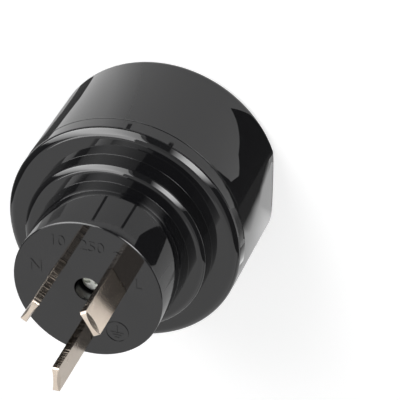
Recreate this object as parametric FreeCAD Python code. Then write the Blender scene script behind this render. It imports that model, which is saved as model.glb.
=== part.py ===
import FreeCAD, Part
import math
import os

# Travel adapter: an earthed round socket with side clips on one end, and a plug with two slanted
# blades and an earth blade on the other.
# Millimetres. The part stands on its socket rim: z = 0 is the rim, +Z runs along the body and out
# along the blades. Looking at the plug face, +X is to the right and the earth blade is at -Y.

Vec = FreeCAD.Vector
UP = Vec(0, 0, 1)

# Socket body
clip_bay = 3.9           # room for the clips between the well's wall and the outer wall
flat_cut = 1.8           # how far each side flat lies inside the round body
seam_rise = 7.8          # seam over the top of the well floor
rim_round = 2.0          # rounding of the outer rim edge
body_wall = 2.3          # outer wall
flat_wall = 2.2          # wall behind each side flat
rim_plate = 2.5          # thickness of the ring face round the well
seam_gap = 0.15          # gap between the two mouldings

# Plug body
band_set_in = 0.05       # band above the seam, inside the body's outline
band_h = 5.5             # seam to the top of the shoulder
shoulder_round = 2.0
ring_h = 5.4             # the step above the shoulder
ring_step = 3.65         # its width round the neck's foot
ring_round = 1.6
ring_draft = 0.1         # how much wider the step is at its foot
neck_h = 16.5            # step to the plug face
neck_draft = 0.45        # how much wider the neck is at its foot
face_margin = 3.915      # earth blade's edge to the edge of the plug face
face_round = 0.5
plug_wall = 2.0          # side walls of the plug moulding
face_wall = 3.0          # thickness of the plug face
lip_h = 2.0              # lip of the socket moulding that stands inside the plug moulding
lip_wall = 1.2
lip_root = 2.0
lip_gap = 0.15

# Socket well
well_mouth_r = 20.2
well_draft = 0.45        # how much narrower it is at its floor
well_depth = 17.5
well_edge = 0.35         # break on the well's mouth
well_wall = 1.3
floor_wall = 2.0
ledge_w = 2.9            # flat guides left and right, in from the mouth's edge
ledge_depth = 4.0        # how deep in the well they start
ledge_slot = 5.9         # gap in the middle of each guide face
pin_pitch = 19.0         # between the two contact holes
pin_r = 2.4              # round pin of the mating plug
pin_len = 19.0
pin_hole_room = 0.5      # contact hole round the pin
pin_hole_break = 0.4     # lead-in round each contact hole

# Plug blades
blade_pcr = 7.92         # centre of the plug to the middle of a slanted blade
blade_angle = 30.0       # where the live blade sits, above +X
blade_w = 6.35
blade_t = 1.6
blade_len = 17.1         # beyond the face
earth_pcr = 10.31
earth_len = 20.3
blade_bevel_len = 0.6    # slope at each tip
blade_bevel = 0.25
blade_ear = 1.1          # shoulder under the face, each side
blade_ear_h = 2.0
blade_slot_gap = 0.1

# Making
weld = 0.1               # how deep features of one moulding run into each other
root = 0.5               # how deep what stands on a floor or hangs from a face runs into it
past = 1.0               # how far a cut runs past what it cuts

# Central screw
screw_sink = 3.3         # how far the head lies below the face
screw_head_r = 2.7
screw_head_h = 1.8
screw_head_room = 0.3    # hole round the head
screw_r = 1.5
screw_bite = 10.5        # length inside the boss
screw_point = 1.2
screw_tip_r = 0.3
screw_head_round = 0.7
screw_notch_w = 1.5
screw_notch_d = 0.9
screw_web = 1.7          # what stands between the two notches
screw_gap = 0.05         # in the boss
screw_column_gap = 0.2
column_wall = 2.0        # column under the plug face, round the screw's hole
mate_drop = 1.2          # end of the column under the contacts' bridges
boss_r = 3.2             # boss on the well floor

# Shutter
rotor_lift = 0.3         # above the well floor
hub_inset = 0.4          # hub inside the contact holes' near edges
rotor_hub_h = 1.5
rotor_gap = 0.06         # running gap on the boss
wing_lap = 1.0           # how far the wings reach past the contact holes
wing_h = 2.8
wing_half_angle = 22.0
wing_ramp = 1.9          # rise of the sloped underside
ramp_inset = 0.2         # slope starts this far outside the hub
chamber_gap = 0.8        # wing tips to the ring round the shutter
chamber_wall = 1.3
stop_gap_angle = 3.0
stop_angle = 5.0
stop_reach = 2.4         # how far each stop stands in from the ring
stop_drop = 0.2          # stops under the tops of the wings
shutter_travel = 38.0
spring_wire_r = 0.2
spring_room = 1.6        # boss to the middle of the wire
spring_turns = 3
spring_pitch = 0.48
spring_leg_inset = 0.3   # legs' ends inside the hub's edge
spring_foot_gap = 0.02   # over the hub
spring_top_gap = 0.24    # under the cover
cover_t = 1.2
cover_hole_room = 0.6    # cover's hole round the pin
lug_rim = 0.6            # cover round each post
lug_leg_gap = 0.6        # cover's lug to the bend of the bracket's leg
post_r = 2.3
bracket_screw_r = 1.1
bracket_head_r = 2.2
bracket_head_h = 1.5
bracket_head_round = 0.6
bracket_slot_w = 0.6
bracket_slot_len = 2.6
bracket_slot_d = 0.8
bracket_screw_gap = 0.5  # under each screw's end, in its post
pilot_gap = 0.05

# Contact carrier and blade holder
inner_gap = 0.4          # carrier and holder inside the neck
carrier_base = 1.8
carrier_lift = 0.1       # over the earth bracket
pocket_wall = 1.1        # along a pocket
pocket_end_wall = 0.8    # across its ends
pocket_clear = 0.3
boss_clear = 0.15
pillar_r = 1.8
pillar_pcr = 12.0
pillar_angles = (90, -35, -145)
holder_t = 2.4
holder_clear = 0.15
link_gap = 0.2           # carrier round the earth link
head_gap = 0.3           # carrier round the bracket screws' heads

# Sheet metal
brass_t = 0.8
jaw_ease = 0.05          # jaws round the pin
jaw_w = 5.6
jaw_flare = 0.7
jaw_flare_h = 1.6
jaw_bend = 0.8
jaw_foot_gap = 0.5       # jaws over the carrier's base
bridge_over_pin = 0.7
riser_w = 5.0
riser_top_gap = 1.2      # riser to the blade's ears
tail_gap = 1.2           # bridge to the end of a blade
clamp_t = 0.5
clamp_bend = 0.6
clamp_h = 4.0
clamp_gap = 0.05
clamp_back = 0.3         # behind the jaws
clamp_reach = 0.5
rivet_r = 1.0
rivet_head_r = 1.8
rivet_head_h = 0.7
rivet_gap = 0.05
rivet_seat_gap = 0.02    # under each head
rivet_dome = 0.6         # top of each head as a share of its foot

# Earth bracket and clips
bar_half_w = 3.5
bar_ring_w = 2.6         # ring of the bracket round the boss
leg_w = 6.4
leg_gap = 0.8            # leg to the well's wall
leg_drop = 1.3           # end of each leg under the top of the well floor
leg_bend = 1.6
link_w = 5.0             # link that rises to the earth blade
link_foot_w = 3.2
clip_t = 0.45
clip_w = 4.3
clip_gap = 0.25
clip_rise = 2.1          # top of each clip over the top of the well floor
clip_pivot_rise = 0.5
clip_drop = 2.3          # where each clip bends inwards
clip_reach = 5.9         # how far each clip's nose stands into the well
clip_nose_z = 7.4
clip_tip_tuck = 0.8      # tip behind the well's wall
clip_tip_z = 4.0
clip_bend = 1.2
clip_side_gap = 0.55     # slot beside the clip
clip_slot_low_gap = 0.1  # slot over the ring face's plate
clip_slot_top_gap = 0.8
clip_rivet_r = 0.8
clip_rivet_head_r = 1.3
clip_rivet_head_h = 0.5
clip_hole_gap = 0.25

# Sizes and levels worked out from those above
pin_x = pin_pitch / 2
pin_hole_r = pin_r + pin_hole_room
cover_hole_r = pin_r + cover_hole_room
jaw_gap = pin_r + jaw_ease
well_foot_r = well_mouth_r - well_draft
well_out_r = well_mouth_r + well_wall
ledge_x = well_mouth_r - ledge_w
body_r = well_out_r + clip_bay + body_wall
flat_x = body_r - flat_cut
band_r = body_r - band_set_in
face_r = earth_pcr + blade_w / 2 + face_margin
neck_foot_r = face_r + neck_draft
ring_r = neck_foot_r + ring_step
carrier_r = face_r - plug_wall - inner_gap
holder_r = carrier_r
screw_hole_r = screw_head_r + screw_head_room
column_r = screw_hole_r + column_wall
bar_ring_r = boss_r + bar_ring_w
rotor_hub_r = pin_x - pin_hole_r - hub_inset
wing_r = pin_x + pin_hole_r + wing_lap
chamber_r = wing_r + chamber_gap
chamber_out_r = chamber_r + chamber_wall
spring_r = boss_r + spring_room
spring_leg = rotor_hub_r - spring_leg_inset - spring_r
spring_low = rotor_lift + rotor_hub_h + spring_foot_gap + spring_wire_r
spring_rise = spring_pitch * spring_turns
chamber_h = spring_low + spring_rise + spring_wire_r + spring_top_gap
leg_y = well_out_r + leg_gap
lug_r = post_r + lug_rim
post_y = leg_y + brass_t / 2 - leg_bend - lug_leg_gap - lug_r

floor_z = well_depth + floor_wall
body_h = floor_z + seam_rise
shoulder_z = body_h + band_h
ring_z = shoulder_z + ring_h
face_z = ring_z + neck_h
cover_z = floor_z + chamber_h
bar_z = cover_z + cover_t
bar_top_z = bar_z + brass_t
carrier_z = bar_top_z + carrier_lift
carrier_floor_z = carrier_z + carrier_base
bridge_z = well_depth + pin_len + bridge_over_pin
bridge_top_z = bridge_z + brass_t
mate_z = bridge_z - mate_drop
ear_top_z = face_z - face_wall
ear_low_z = ear_top_z - blade_ear_h
tail_z = bridge_top_z + tail_gap
holder_z = ear_low_z - holder_t
riser_top_z = holder_z - riser_top_gap
rivet_z = (tail_z + riser_top_z) / 2
head_z = face_z - screw_sink - screw_head_h
leg_foot_z = floor_z - leg_drop
clip_top_z = floor_z + clip_rise
clip_pivot_z = floor_z + clip_pivot_rise
clip_bend_z = floor_z - clip_drop
clip_nose_y = well_mouth_r - clip_reach
clip_tip_y = well_mouth_r + clip_tip_tuck
clip_slot_w = clip_w + 2 * clip_side_gap
clip_slot_low_z = rim_plate + clip_slot_low_gap


def turned(profile):
    """Solid turned about Z from points (radius, z); an entry with 4 numbers is an arc: through, then end."""
    edges = []
    here = profile[0]
    for entry in list(profile[1:]) + [profile[0]]:
        start = Vec(here[0], 0, here[1])
        if len(entry) == 4:
            through = Vec(entry[0], 0, entry[1])
            end = Vec(entry[2], 0, entry[3])
            edges.append(Part.Arc(start, through, end).toShape())
            here = (entry[2], entry[3])
        else:
            end = Vec(entry[0], 0, entry[1])
            if start.distanceToPoint(end) > 1e-6:
                edges.append(Part.LineSegment(start, end).toShape())
            here = entry
    face = Part.Face(Part.Wire(edges))
    return face.revolve(Vec(0, 0, 0), UP, 360)


def round_over(radius, z, size):
    """Arc entry for a rounded outer edge that ends on a top at height z."""
    lean = size * (1 - math.sqrt(0.5))
    return (radius - lean, z - lean, radius - size, z)


def disc(radius, z_low, z_high, x=0.0, y=0.0):
    return Part.makeCylinder(radius, z_high - z_low, Vec(x, y, z_low), UP)


def tube(r_out, r_in, z_low, z_high, x=0.0, y=0.0):
    return disc(r_out, z_low, z_high, x, y).cut(disc(r_in, z_low - past, z_high + past, x, y))


def block(x_low, x_high, y_low, y_high, z_low, z_high):
    return Part.makeBox(x_high - x_low, y_high - y_low, z_high - z_low, Vec(x_low, y_low, z_low))


def cone(r_low, r_high, z_low, z_high, x=0.0, y=0.0):
    return Part.makeCone(r_low, r_high, z_high - z_low, Vec(x, y, z_low), UP)


def joined(first, *others):
    return first.fuse(list(others)).removeSplitter()


def sector(r_out, r_in, from_deg, to_deg, z_low, z_high):
    """Part of a ring between two angles, counted from +X."""
    wedge = Part.makeCylinder(r_out, z_high - z_low, Vec(0, 0, z_low), UP, to_deg - from_deg)
    wedge.rotate(Vec(0, 0, 0), UP, from_deg)
    return wedge.cut(disc(r_in, z_low - past, z_high + past))


def bent_strip(points, bend, thick, wide, lay):
    """Bent sheet: centre line of 2D points, the same bend radius at each corner, lay() puts 2D into 3D."""
    sides = []
    for side in (thick / 2, -thick / 2):
        path = []
        for i in range(1, len(points)):
            a, b = points[i - 1], points[i]
            run = math.hypot(b[0] - a[0], b[1] - a[1])
            path.append(((b[0] - a[0]) / run, (b[1] - a[1]) / run))
        edges = []
        d = path[0]
        here = (points[0][0] - d[1] * side, points[0][1] + d[0] * side)
        first = here
        for i in range(1, len(points) - 1):
            d1, d2 = path[i - 1], path[i]
            cross = d1[0] * d2[1] - d1[1] * d2[0]
            turn = math.atan2(cross, d1[0] * d2[0] + d1[1] * d2[1])
            hand = 1.0 if turn > 0 else -1.0
            back = bend * math.tan(abs(turn) / 2)
            centre = (points[i][0] - d1[0] * back - hand * d1[1] * bend,
                      points[i][1] - d1[1] * back + hand * d1[0] * bend)
            reach = bend - hand * side
            mid = (d1[0] + d2[0], d1[1] + d2[1])
            size = math.hypot(mid[0], mid[1])
            stops = []
            for d in (d1, (mid[0] / size, mid[1] / size), d2):
                stops.append((centre[0] + hand * d[1] * reach, centre[1] - hand * d[0] * reach))
            edges.append(Part.LineSegment(lay(*here), lay(*stops[0])).toShape())
            edges.append(Part.Arc(lay(*stops[0]), lay(*stops[1]), lay(*stops[2])).toShape())
            here = stops[2]
        d = path[-1]
        last = (points[-1][0] - d[1] * side, points[-1][1] + d[0] * side)
        edges.append(Part.LineSegment(lay(*here), lay(*last)).toShape())
        sides.append((edges, first, last))
    (left, left_first, left_last), (right, right_first, right_last) = sides
    caps = [Part.LineSegment(lay(*left_last), lay(*right_last)).toShape(),
            Part.LineSegment(lay(*left_first), lay(*right_first)).toShape()]
    face = Part.Face(Part.Wire(Part.__sortEdges__(left + right + caps)))
    across = (lay(1, 0) - lay(0, 0)).cross(lay(0, 1) - lay(0, 0))
    face.translate(across * (-wide / 2))
    return face.extrude(across * wide)


def along_x(x):
    """Lays a (y, z) drawing in the plane at x."""
    return lambda y, z: Vec(x, y, z)


def mirrored_x(shape):
    return shape.mirror(Vec(0, 0, 0), Vec(1, 0, 0))


def mirrored_y(shape):
    return shape.mirror(Vec(0, 0, 0), Vec(0, 1, 0))


def at_live(shape):
    """Moves a shape drawn on the axis, broad side facing +X, to the live blade's place."""
    shape = shape.copy()
    shape.translate(Vec(blade_pcr, 0, 0))
    shape.rotate(Vec(0, 0, 0), UP, blade_angle)
    return shape


def at_earth(shape):
    shape = shape.copy()
    shape.translate(Vec(0, -earth_pcr, 0))
    return shape


def at_blades(shape):
    """The shape at the live, neutral and earth blades."""
    return [at_live(shape), mirrored_x(at_live(shape)), at_earth(shape)]


def socket_shell():
    """Outer wall, ring face, well, well floor and everything that stands on the floor."""
    outer = turned([(0, 0), (body_r - rim_round, 0),
                    (body_r - rim_round * (1 - math.sqrt(0.5)), rim_round * (1 - math.sqrt(0.5)),
                     body_r, rim_round),
                    (body_r, body_h), (0, body_h)])
    outer = outer.common(block(-flat_x, flat_x, -body_r, body_r, 0, body_h))
    hollow_r = body_r - body_wall
    hollow_x = flat_x - flat_wall
    hollow = disc(hollow_r, rim_plate, body_h + past)
    hollow = hollow.common(block(-hollow_x, hollow_x, -body_r, body_r, 0, body_h + 2 * past))
    shell = outer.cut(hollow)

    lip_out_r = band_r - plug_wall - lip_gap
    lip = tube(lip_out_r, lip_out_r - lip_wall, body_h - lip_root, body_h + lip_h)
    lip = lip.fuse(tube(hollow_r + weld, lip_out_r - lip_wall, body_h - lip_root, body_h))
    lip = lip.common(block(-hollow_x, hollow_x, -body_r, body_r, 0, body_h + lip_h + past))
    shell = shell.fuse(lip)

    shell = shell.fuse(disc(well_out_r, 0, floor_z))
    well = turned([(0, -past), (well_mouth_r + well_edge + past, -past), (well_mouth_r + well_edge, 0),
                   (well_mouth_r, well_edge), (well_foot_r, well_depth), (0, well_depth)])
    ledges = disc(well_mouth_r, ledge_depth, well_depth)
    ledges = ledges.cut(block(-ledge_x, ledge_x, -body_r, body_r, 0, floor_z))
    ledges = ledges.cut(block(-body_r, body_r, -ledge_slot / 2, ledge_slot / 2, 0, floor_z))
    shell = shell.cut(well.cut(ledges))

    for side in (1, -1):
        x = side * pin_x
        shell = shell.cut(disc(pin_hole_r, well_depth - past, floor_z + past, x))
        shell = shell.cut(cone(pin_hole_r + pin_hole_break, pin_hole_r, well_depth,
                               well_depth + pin_hole_break, x))
        y_low, y_high = sorted((side * (well_foot_r - well_wall), side * (well_out_r + weld)))
        shell = shell.cut(block(-clip_slot_w / 2, clip_slot_w / 2, y_low, y_high,
                                clip_slot_low_z, well_depth - clip_slot_top_gap))

    boss = tube(boss_r, screw_r + screw_gap, floor_z - root, mate_z - carrier_lift)
    boss = boss.fuse(disc(boss_r, floor_z - root, mate_z - carrier_lift - screw_bite - screw_point))
    chamber = tube(chamber_out_r, chamber_r, floor_z - root, cover_z)
    shell = shell.fuse([boss, chamber])
    for side in (1, -1):
        shell = shell.fuse(disc(post_r, floor_z - root, cover_z, 0, side * post_y))
        shell = shell.cut(disc(bracket_screw_r + pilot_gap, floor_z, cover_z + past, 0, side * post_y))
    for start in (0, 180):
        for edge in (-wing_half_angle - stop_gap_angle - stop_angle,
                     wing_half_angle + shutter_travel + stop_gap_angle):
            stop = sector(chamber_r + root, chamber_r - stop_reach, start + edge,
                          start + edge + stop_angle, floor_z - root,
                          floor_z + rotor_lift + wing_h - stop_drop)
            shell = shell.fuse(stop)
    return shell.removeSplitter()


def plug_outline():
    """Outer form of the plug moulding, from the seam to the face."""
    return turned([
        (0, body_h + seam_gap), (band_r, body_h + seam_gap),
        (band_r, shoulder_z - shoulder_round), round_over(band_r, shoulder_z, shoulder_round),
        (ring_r + ring_draft, shoulder_z), (ring_r, ring_z - ring_round),
        round_over(ring_r, ring_z, ring_round), (neck_foot_r, ring_z),
        (face_r, face_z - face_round), round_over(face_r, face_z, face_round), (0, face_z)])


def plug_hollow():
    shoulder_in = band_r - plug_wall
    ring_in = ring_r - plug_wall
    neck_in_low = neck_foot_r - plug_wall
    neck_in_top = face_r - plug_wall
    return turned([
        (0, body_h - past), (shoulder_in, body_h - past), (shoulder_in, shoulder_z - plug_wall),
        (ring_in, shoulder_z - plug_wall), (ring_in, ring_z - plug_wall),
        (neck_in_low, ring_z - plug_wall), (neck_in_top, ear_top_z), (0, ear_top_z)])


def blade_slot():
    half_t = blade_t / 2 + blade_slot_gap
    half_w = blade_w / 2 + blade_slot_gap
    return block(-half_t, half_t, -half_w, half_w, ear_top_z - past, face_z + past)


def plug_shell():
    """Band, shoulder, step, neck and face in one moulding, with the screw's column inside."""
    shell = plug_outline().cut(plug_hollow())
    shell = shell.fuse(disc(column_r, mate_z, ear_top_z + root))
    shell = shell.cut(disc(screw_hole_r, head_z, face_z + past))
    shell = shell.cut(disc(screw_r + screw_column_gap, mate_z - past, head_z + past))
    for slot in at_blades(blade_slot()):
        shell = shell.cut(slot)
    return shell.removeSplitter()


def shutter_rotor():
    """Red shutter: a hub on the boss and two sloped wings behind the contact holes."""
    low = floor_z + rotor_lift
    hub = tube(rotor_hub_r, boss_r + rotor_gap, low, low + rotor_hub_h)
    rotor = hub
    for start in (0, 180):
        wing = sector(wing_r, rotor_hub_r - weld, start - wing_half_angle, start + wing_half_angle,
                      low, low + wing_h)
        rotor = rotor.fuse(wing)
    for start in (0, 180):
        half_span = wing_r * math.sin(math.radians(wing_half_angle))
        slope = Part.makePolygon([Vec(rotor_hub_r + ramp_inset, -half_span - past, low - past),
                                  Vec(rotor_hub_r + ramp_inset, half_span + past, low - past),
                                  Vec(rotor_hub_r + ramp_inset, half_span + past, low),
                                  Vec(rotor_hub_r + ramp_inset, -half_span - past, low + wing_ramp),
                                  Vec(rotor_hub_r + ramp_inset, -half_span - past, low - past)])
        cutter = Part.Face(slope).extrude(Vec(wing_r, 0, 0))
        cutter.rotate(Vec(0, 0, 0), UP, start)
        rotor = rotor.cut(cutter)
    return rotor.removeSplitter()


def shutter_spring():
    """Torsion spring round the boss, with one leg on the hub and one on the cover."""
    low = floor_z + spring_low
    helix = Part.makeHelix(spring_pitch, spring_rise, spring_r)
    helix.translate(Vec(0, 0, low))
    start = helix.Edges[0].valueAt(helix.Edges[0].FirstParameter)
    tangent = helix.Edges[0].tangentAt(helix.Edges[0].FirstParameter)
    section = Part.Wire(Part.makeCircle(spring_wire_r, start, tangent))
    coil = Part.Wire(helix.Edges).makePipeShell([section], True, True)
    legs = []
    for z in (low, low + spring_rise):
        legs.append(Part.makeCylinder(spring_wire_r, spring_leg, Vec(spring_r, 0, z), Vec(1, 0, 0)))
    return joined(coil, *legs)


def shutter_cover():
    """Plate that keeps the shutter down, with a lug over each post."""
    cover = disc(chamber_out_r, cover_z, cover_z + cover_t)
    for side in (1, -1):
        y_low, y_high = sorted((0, side * post_y))
        cover = cover.fuse(block(-lug_r, lug_r, y_low, y_high, cover_z, cover_z + cover_t))
        cover = cover.fuse(disc(lug_r, cover_z, cover_z + cover_t, 0, side * post_y))
    cover = cover.cut(disc(boss_r + boss_clear, cover_z - past, bar_z + past))
    for side in (1, -1):
        cover = cover.cut(disc(cover_hole_r, cover_z - past, bar_z + past, side * pin_x))
        cover = cover.cut(disc(bracket_screw_r + pilot_gap, cover_z - past, bar_z + past, 0, side * post_y))
    return cover.removeSplitter()


def carrier_pocket(x_grow, y_grow):
    """Block round one contact, grown by the given amounts."""
    half_x = jaw_w / 2 + clamp_t + clamp_reach + pocket_clear + x_grow
    half_y = jaw_gap + brass_t + clamp_t + clamp_gap + pocket_clear + y_grow
    return (pin_x - half_x, pin_x + half_x, -half_y, half_y)


def contact_carrier():
    """Insulating block: a base on the earth bracket, a pocket for each contact and three pillars."""
    carrier = disc(carrier_r, carrier_z, carrier_floor_z)
    carrier = carrier.fuse(disc(column_r, carrier_z, mate_z))
    for mirror in (False, True):
        wall = block(*carrier_pocket(pocket_end_wall, pocket_wall), carrier_z, bridge_z)
        wall = wall.common(disc(carrier_r, carrier_z - past, bridge_z + past))
        room = block(*carrier_pocket(0, 0), carrier_floor_z, bridge_z + past)
        hole = disc(cover_hole_r, carrier_z - past, bridge_z, pin_x)
        if mirror:
            wall, room, hole = mirrored_x(wall), mirrored_x(room), mirrored_x(hole)
        carrier = carrier.fuse(wall)
        carrier = carrier.cut(room.fuse(hole))
    for angle in pillar_angles:
        x = pillar_pcr * math.cos(math.radians(angle))
        y = pillar_pcr * math.sin(math.radians(angle))
        carrier = carrier.fuse(disc(pillar_r, carrier_z, holder_z, x, y))
    carrier = carrier.cut(disc(boss_r + boss_clear, carrier_z - past, mate_z + past))
    carrier = carrier.cut(disc(column_r + inner_gap, mate_z, bridge_z + past))
    x_near = blade_t / 2 - link_gap
    x_far = blade_t / 2 + brass_t + link_gap
    y_near = -earth_pcr + link_w / 2 + link_gap
    y_far = -earth_pcr - link_w / 2 - link_gap
    riser = block(x_near, x_far, y_far, y_near, carrier_z - past, carrier_floor_z + past)
    foot = block(-link_foot_w - link_gap, x_far, -carrier_r - past, y_near, carrier_z - past,
                 bar_top_z + brass_t + link_gap)
    carrier = carrier.cut(riser)
    for side in (1, -1):
        head = disc(bracket_head_r + head_gap, carrier_z - past, holder_z + past, 0, side * post_y)
        carrier = carrier.cut(head)
    return carrier.cut(foot).removeSplitter()


def blade_outline(length):
    """One blade standing at the axis, broad sides facing X: tail, ears, and a bevelled tip."""
    tip_z = face_z + length
    half_w = blade_w / 2
    half_t = blade_t / 2
    ear = half_w + blade_ear
    side = Part.makePolygon([Vec(-half_t, -half_w, tail_z), Vec(-half_t, -half_w, ear_low_z),
                             Vec(-half_t, -ear, ear_low_z), Vec(-half_t, -ear, ear_top_z),
                             Vec(-half_t, -half_w, ear_top_z), Vec(-half_t, -half_w, tip_z),
                             Vec(-half_t, half_w, tip_z), Vec(-half_t, half_w, ear_top_z),
                             Vec(-half_t, ear, ear_top_z), Vec(-half_t, ear, ear_low_z),
                             Vec(-half_t, half_w, ear_low_z), Vec(-half_t, half_w, tail_z),
                             Vec(-half_t, -half_w, tail_z)])
    blade = Part.Face(side).extrude(Vec(blade_t, 0, 0))
    for hand in (1, -1):
        cut = Part.makePolygon([Vec(hand * half_t, -ear - past, tip_z - blade_bevel_len),
                                Vec(hand * (half_t + past), -ear - past, tip_z - blade_bevel_len),
                                Vec(hand * (half_t + past), -ear - past, tip_z + past),
                                Vec(hand * (half_t - blade_bevel), -ear - past, tip_z + past),
                                Vec(hand * (half_t - blade_bevel), -ear - past, tip_z),
                                Vec(hand * half_t, -ear - past, tip_z - blade_bevel_len)])
        blade = blade.cut(Part.Face(cut).extrude(Vec(0, 2 * (ear + past), 0)))
    rivet_hole = Part.makeCylinder(rivet_r + rivet_gap, blade_t + 2 * past, Vec(-half_t - past, 0, rivet_z),
                                   Vec(1, 0, 0))
    return blade.cut(rivet_hole)


def live_blade():
    return at_live(blade_outline(blade_len))


def neutral_blade():
    return mirrored_x(live_blade())


def earth_blade():
    return at_earth(blade_outline(earth_len))


def live_contact():
    """Two jaws on a bridge over the pin's end, and a riser beside the live blade."""
    jaw_y = jaw_gap + brass_t / 2
    low = carrier_floor_z + jaw_foot_gap
    half = [(jaw_y + jaw_flare, low), (jaw_y, low + jaw_flare_h), (jaw_y, bridge_z + brass_t / 2)]
    points = half + [(-y, z) for y, z in reversed(half)]
    jaws = bent_strip(points, jaw_bend, brass_t, jaw_w, along_x(pin_x))

    riser_x = blade_t / 2 + brass_t / 2
    riser = block(riser_x - brass_t / 2, riser_x + brass_t / 2, -riser_w / 2, riser_w / 2,
                  bridge_z, riser_top_z)
    hole = Part.makeCylinder(rivet_r + rivet_gap, brass_t + 2 * past,
                             Vec(riser_x - brass_t / 2 - past, 0, rivet_z), Vec(1, 0, 0))
    riser = at_live(riser.cut(hole))

    turn = math.radians(blade_angle)
    out = Vec(math.cos(turn), math.sin(turn), 0)
    along = Vec(-math.sin(turn), math.cos(turn), 0)
    centre = out * (blade_pcr + riser_x)
    inner = centre - out * (brass_t / 2)
    outer = centre + out * (brass_t / 2)
    left = pin_x - jaw_w / 2
    right = pin_x + jaw_w / 2
    edge_y = jaw_gap - jaw_bend / 2
    plan = [Vec(left, -edge_y, 0), Vec(right, -edge_y, 0), Vec(right, edge_y, 0),
            outer - along * (riser_w / 2), outer + along * (riser_w / 2),
            inner + along * (riser_w / 2), Vec(left, edge_y, 0), Vec(left, -edge_y, 0)]
    bridge = Part.Face(Part.makePolygon(plan)).extrude(Vec(0, 0, brass_t))
    bridge.translate(Vec(0, 0, bridge_z))
    return joined(jaws, bridge, riser)


def neutral_contact():
    return mirrored_x(live_contact())


def live_jaw_spring():
    """Steel clamp that wraps the two jaws from outside."""
    reach = jaw_w / 2
    jaw_out = jaw_gap + brass_t + clamp_gap + clamp_t / 2
    back = pin_x + reach + clamp_back + clamp_t / 2
    z = (carrier_floor_z + bridge_z) / 2
    points = [(pin_x - reach + clamp_reach, jaw_out), (back, jaw_out), (back, -jaw_out),
              (pin_x - reach + clamp_reach, -jaw_out)]
    return bent_strip(points, clamp_bend, clamp_t, clamp_h, lambda x, y: Vec(x, y, z))


def neutral_jaw_spring():
    return mirrored_x(live_jaw_spring())


def rivet(x_low, x_high, z, shank_r, head_r, head_h):
    """Rivet along X through the stretch from x_low to x_high, with a domed head on each end."""
    shank = Part.makeCylinder(shank_r, x_high - x_low, Vec(x_low, 0, z), Vec(1, 0, 0))
    parts = [shank]
    for x, way in ((x_low, -1), (x_high, 1)):
        head = Part.makeCone(head_r, head_r * rivet_dome, head_h, Vec(x, 0, z), Vec(way, 0, 0))
        parts.append(head)
    return joined(*parts)


def contact_rivets():
    """One rivet through each blade and the brass beside it."""
    low = -blade_t / 2 - rivet_seat_gap
    high = blade_t / 2 + brass_t + rivet_seat_gap
    one = rivet(low, high, rivet_z, rivet_r, rivet_head_r, rivet_head_h)
    return Part.makeCompound(at_blades(one))


def earth_bracket():
    """Bar across the cover with a ring round the boss, and a leg down each side of the well."""
    y_mid = leg_y + brass_t / 2
    z_mid = bar_z + brass_t / 2
    points = [(y_mid, leg_foot_z), (y_mid, z_mid), (-y_mid, z_mid), (-y_mid, leg_foot_z)]
    strap = bent_strip(points, leg_bend, brass_t, leg_w, along_x(0))
    bar = block(-bar_half_w, bar_half_w, -post_y - lug_r, post_y + lug_r, bar_z, bar_top_z)
    bracket = strap.fuse([bar, disc(bar_ring_r, bar_z, bar_top_z)])
    bracket = bracket.cut(disc(boss_r + boss_clear, bar_z - past, bar_top_z + past))
    for side in (1, -1):
        bracket = bracket.cut(disc(bracket_screw_r + pilot_gap, bar_z - past, bar_top_z + past, 0,
                                   side * post_y))
        hole = Part.makeCylinder(clip_rivet_r + rivet_gap, brass_t + 2 * past,
                                 Vec(0, side * (leg_y - past), clip_pivot_z), Vec(0, side, 0))
        bracket = bracket.cut(hole)
    return bracket.removeSplitter()


def earth_link():
    """Angle that the bracket screw holds on the bar, rising beside the earth blade."""
    x_low = blade_t / 2
    x_high = x_low + brass_t
    y_far = -post_y - bracket_head_r
    y_near = -earth_pcr + link_w / 2
    foot = block(-link_foot_w, x_high, y_far, y_near, bar_top_z, bar_top_z + brass_t)
    foot = foot.cut(disc(bracket_screw_r + pilot_gap, bar_z, bar_top_z + brass_t + past, 0, -post_y))
    riser = block(x_low, x_high, -earth_pcr - link_w / 2, y_near, bar_top_z, riser_top_z)
    hole = Part.makeCylinder(rivet_r + rivet_gap, brass_t + 2 * past, Vec(x_low - past, -earth_pcr, rivet_z),
                             Vec(1, 0, 0))
    return joined(foot, riser.cut(hole))


def clip_strip():
    """Sprung leaf on the +Y side: hangs on its rivet, comes in through the slot and turns back."""
    y = leg_y + brass_t + clip_gap + clip_t / 2
    points = [(y, clip_top_z), (y, clip_bend_z), (clip_nose_y, clip_nose_z), (clip_tip_y, clip_tip_z)]
    leaf = bent_strip(points, clip_bend, clip_t, clip_w, along_x(0))
    hole = Part.makeCylinder(clip_rivet_r + clip_hole_gap, clip_t + 2 * past,
                             Vec(0, y - clip_t / 2 - past, clip_pivot_z), Vec(0, 1, 0))
    return leaf.cut(hole)


def earth_clip_upper():
    return clip_strip()


def earth_clip_lower():
    return mirrored_y(clip_strip())


def clip_rivets():
    """Rivet through each leg and its clip, with room for the clip to rock."""
    low = leg_y - rivet_gap
    high = leg_y + brass_t + clip_gap + clip_t + clip_hole_gap
    one = rivet(low, high, clip_pivot_z, clip_rivet_r, clip_rivet_head_r, clip_rivet_head_h)
    one.rotate(Vec(0, 0, 0), UP, 90)
    return Part.makeCompound([one, mirrored_y(one)])


def blade_holder():
    """Disc that keeps the blades' ears up against the face."""
    low = holder_z
    holder = disc(holder_r, low, ear_top_z)
    holder = holder.cut(disc(column_r + holder_clear, low - past, face_z))
    clear = holder_clear
    half_t = blade_t / 2 + clear
    half_w = blade_w / 2 + clear
    tail = block(-half_t, half_t, -half_w, half_w, low - past, face_z)
    ears = block(-half_t, half_t, -half_w - blade_ear, half_w + blade_ear, ear_low_z, face_z)
    for room in at_blades(tail.fuse(ears)):
        holder = holder.cut(room)
    return holder.removeSplitter()


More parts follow.
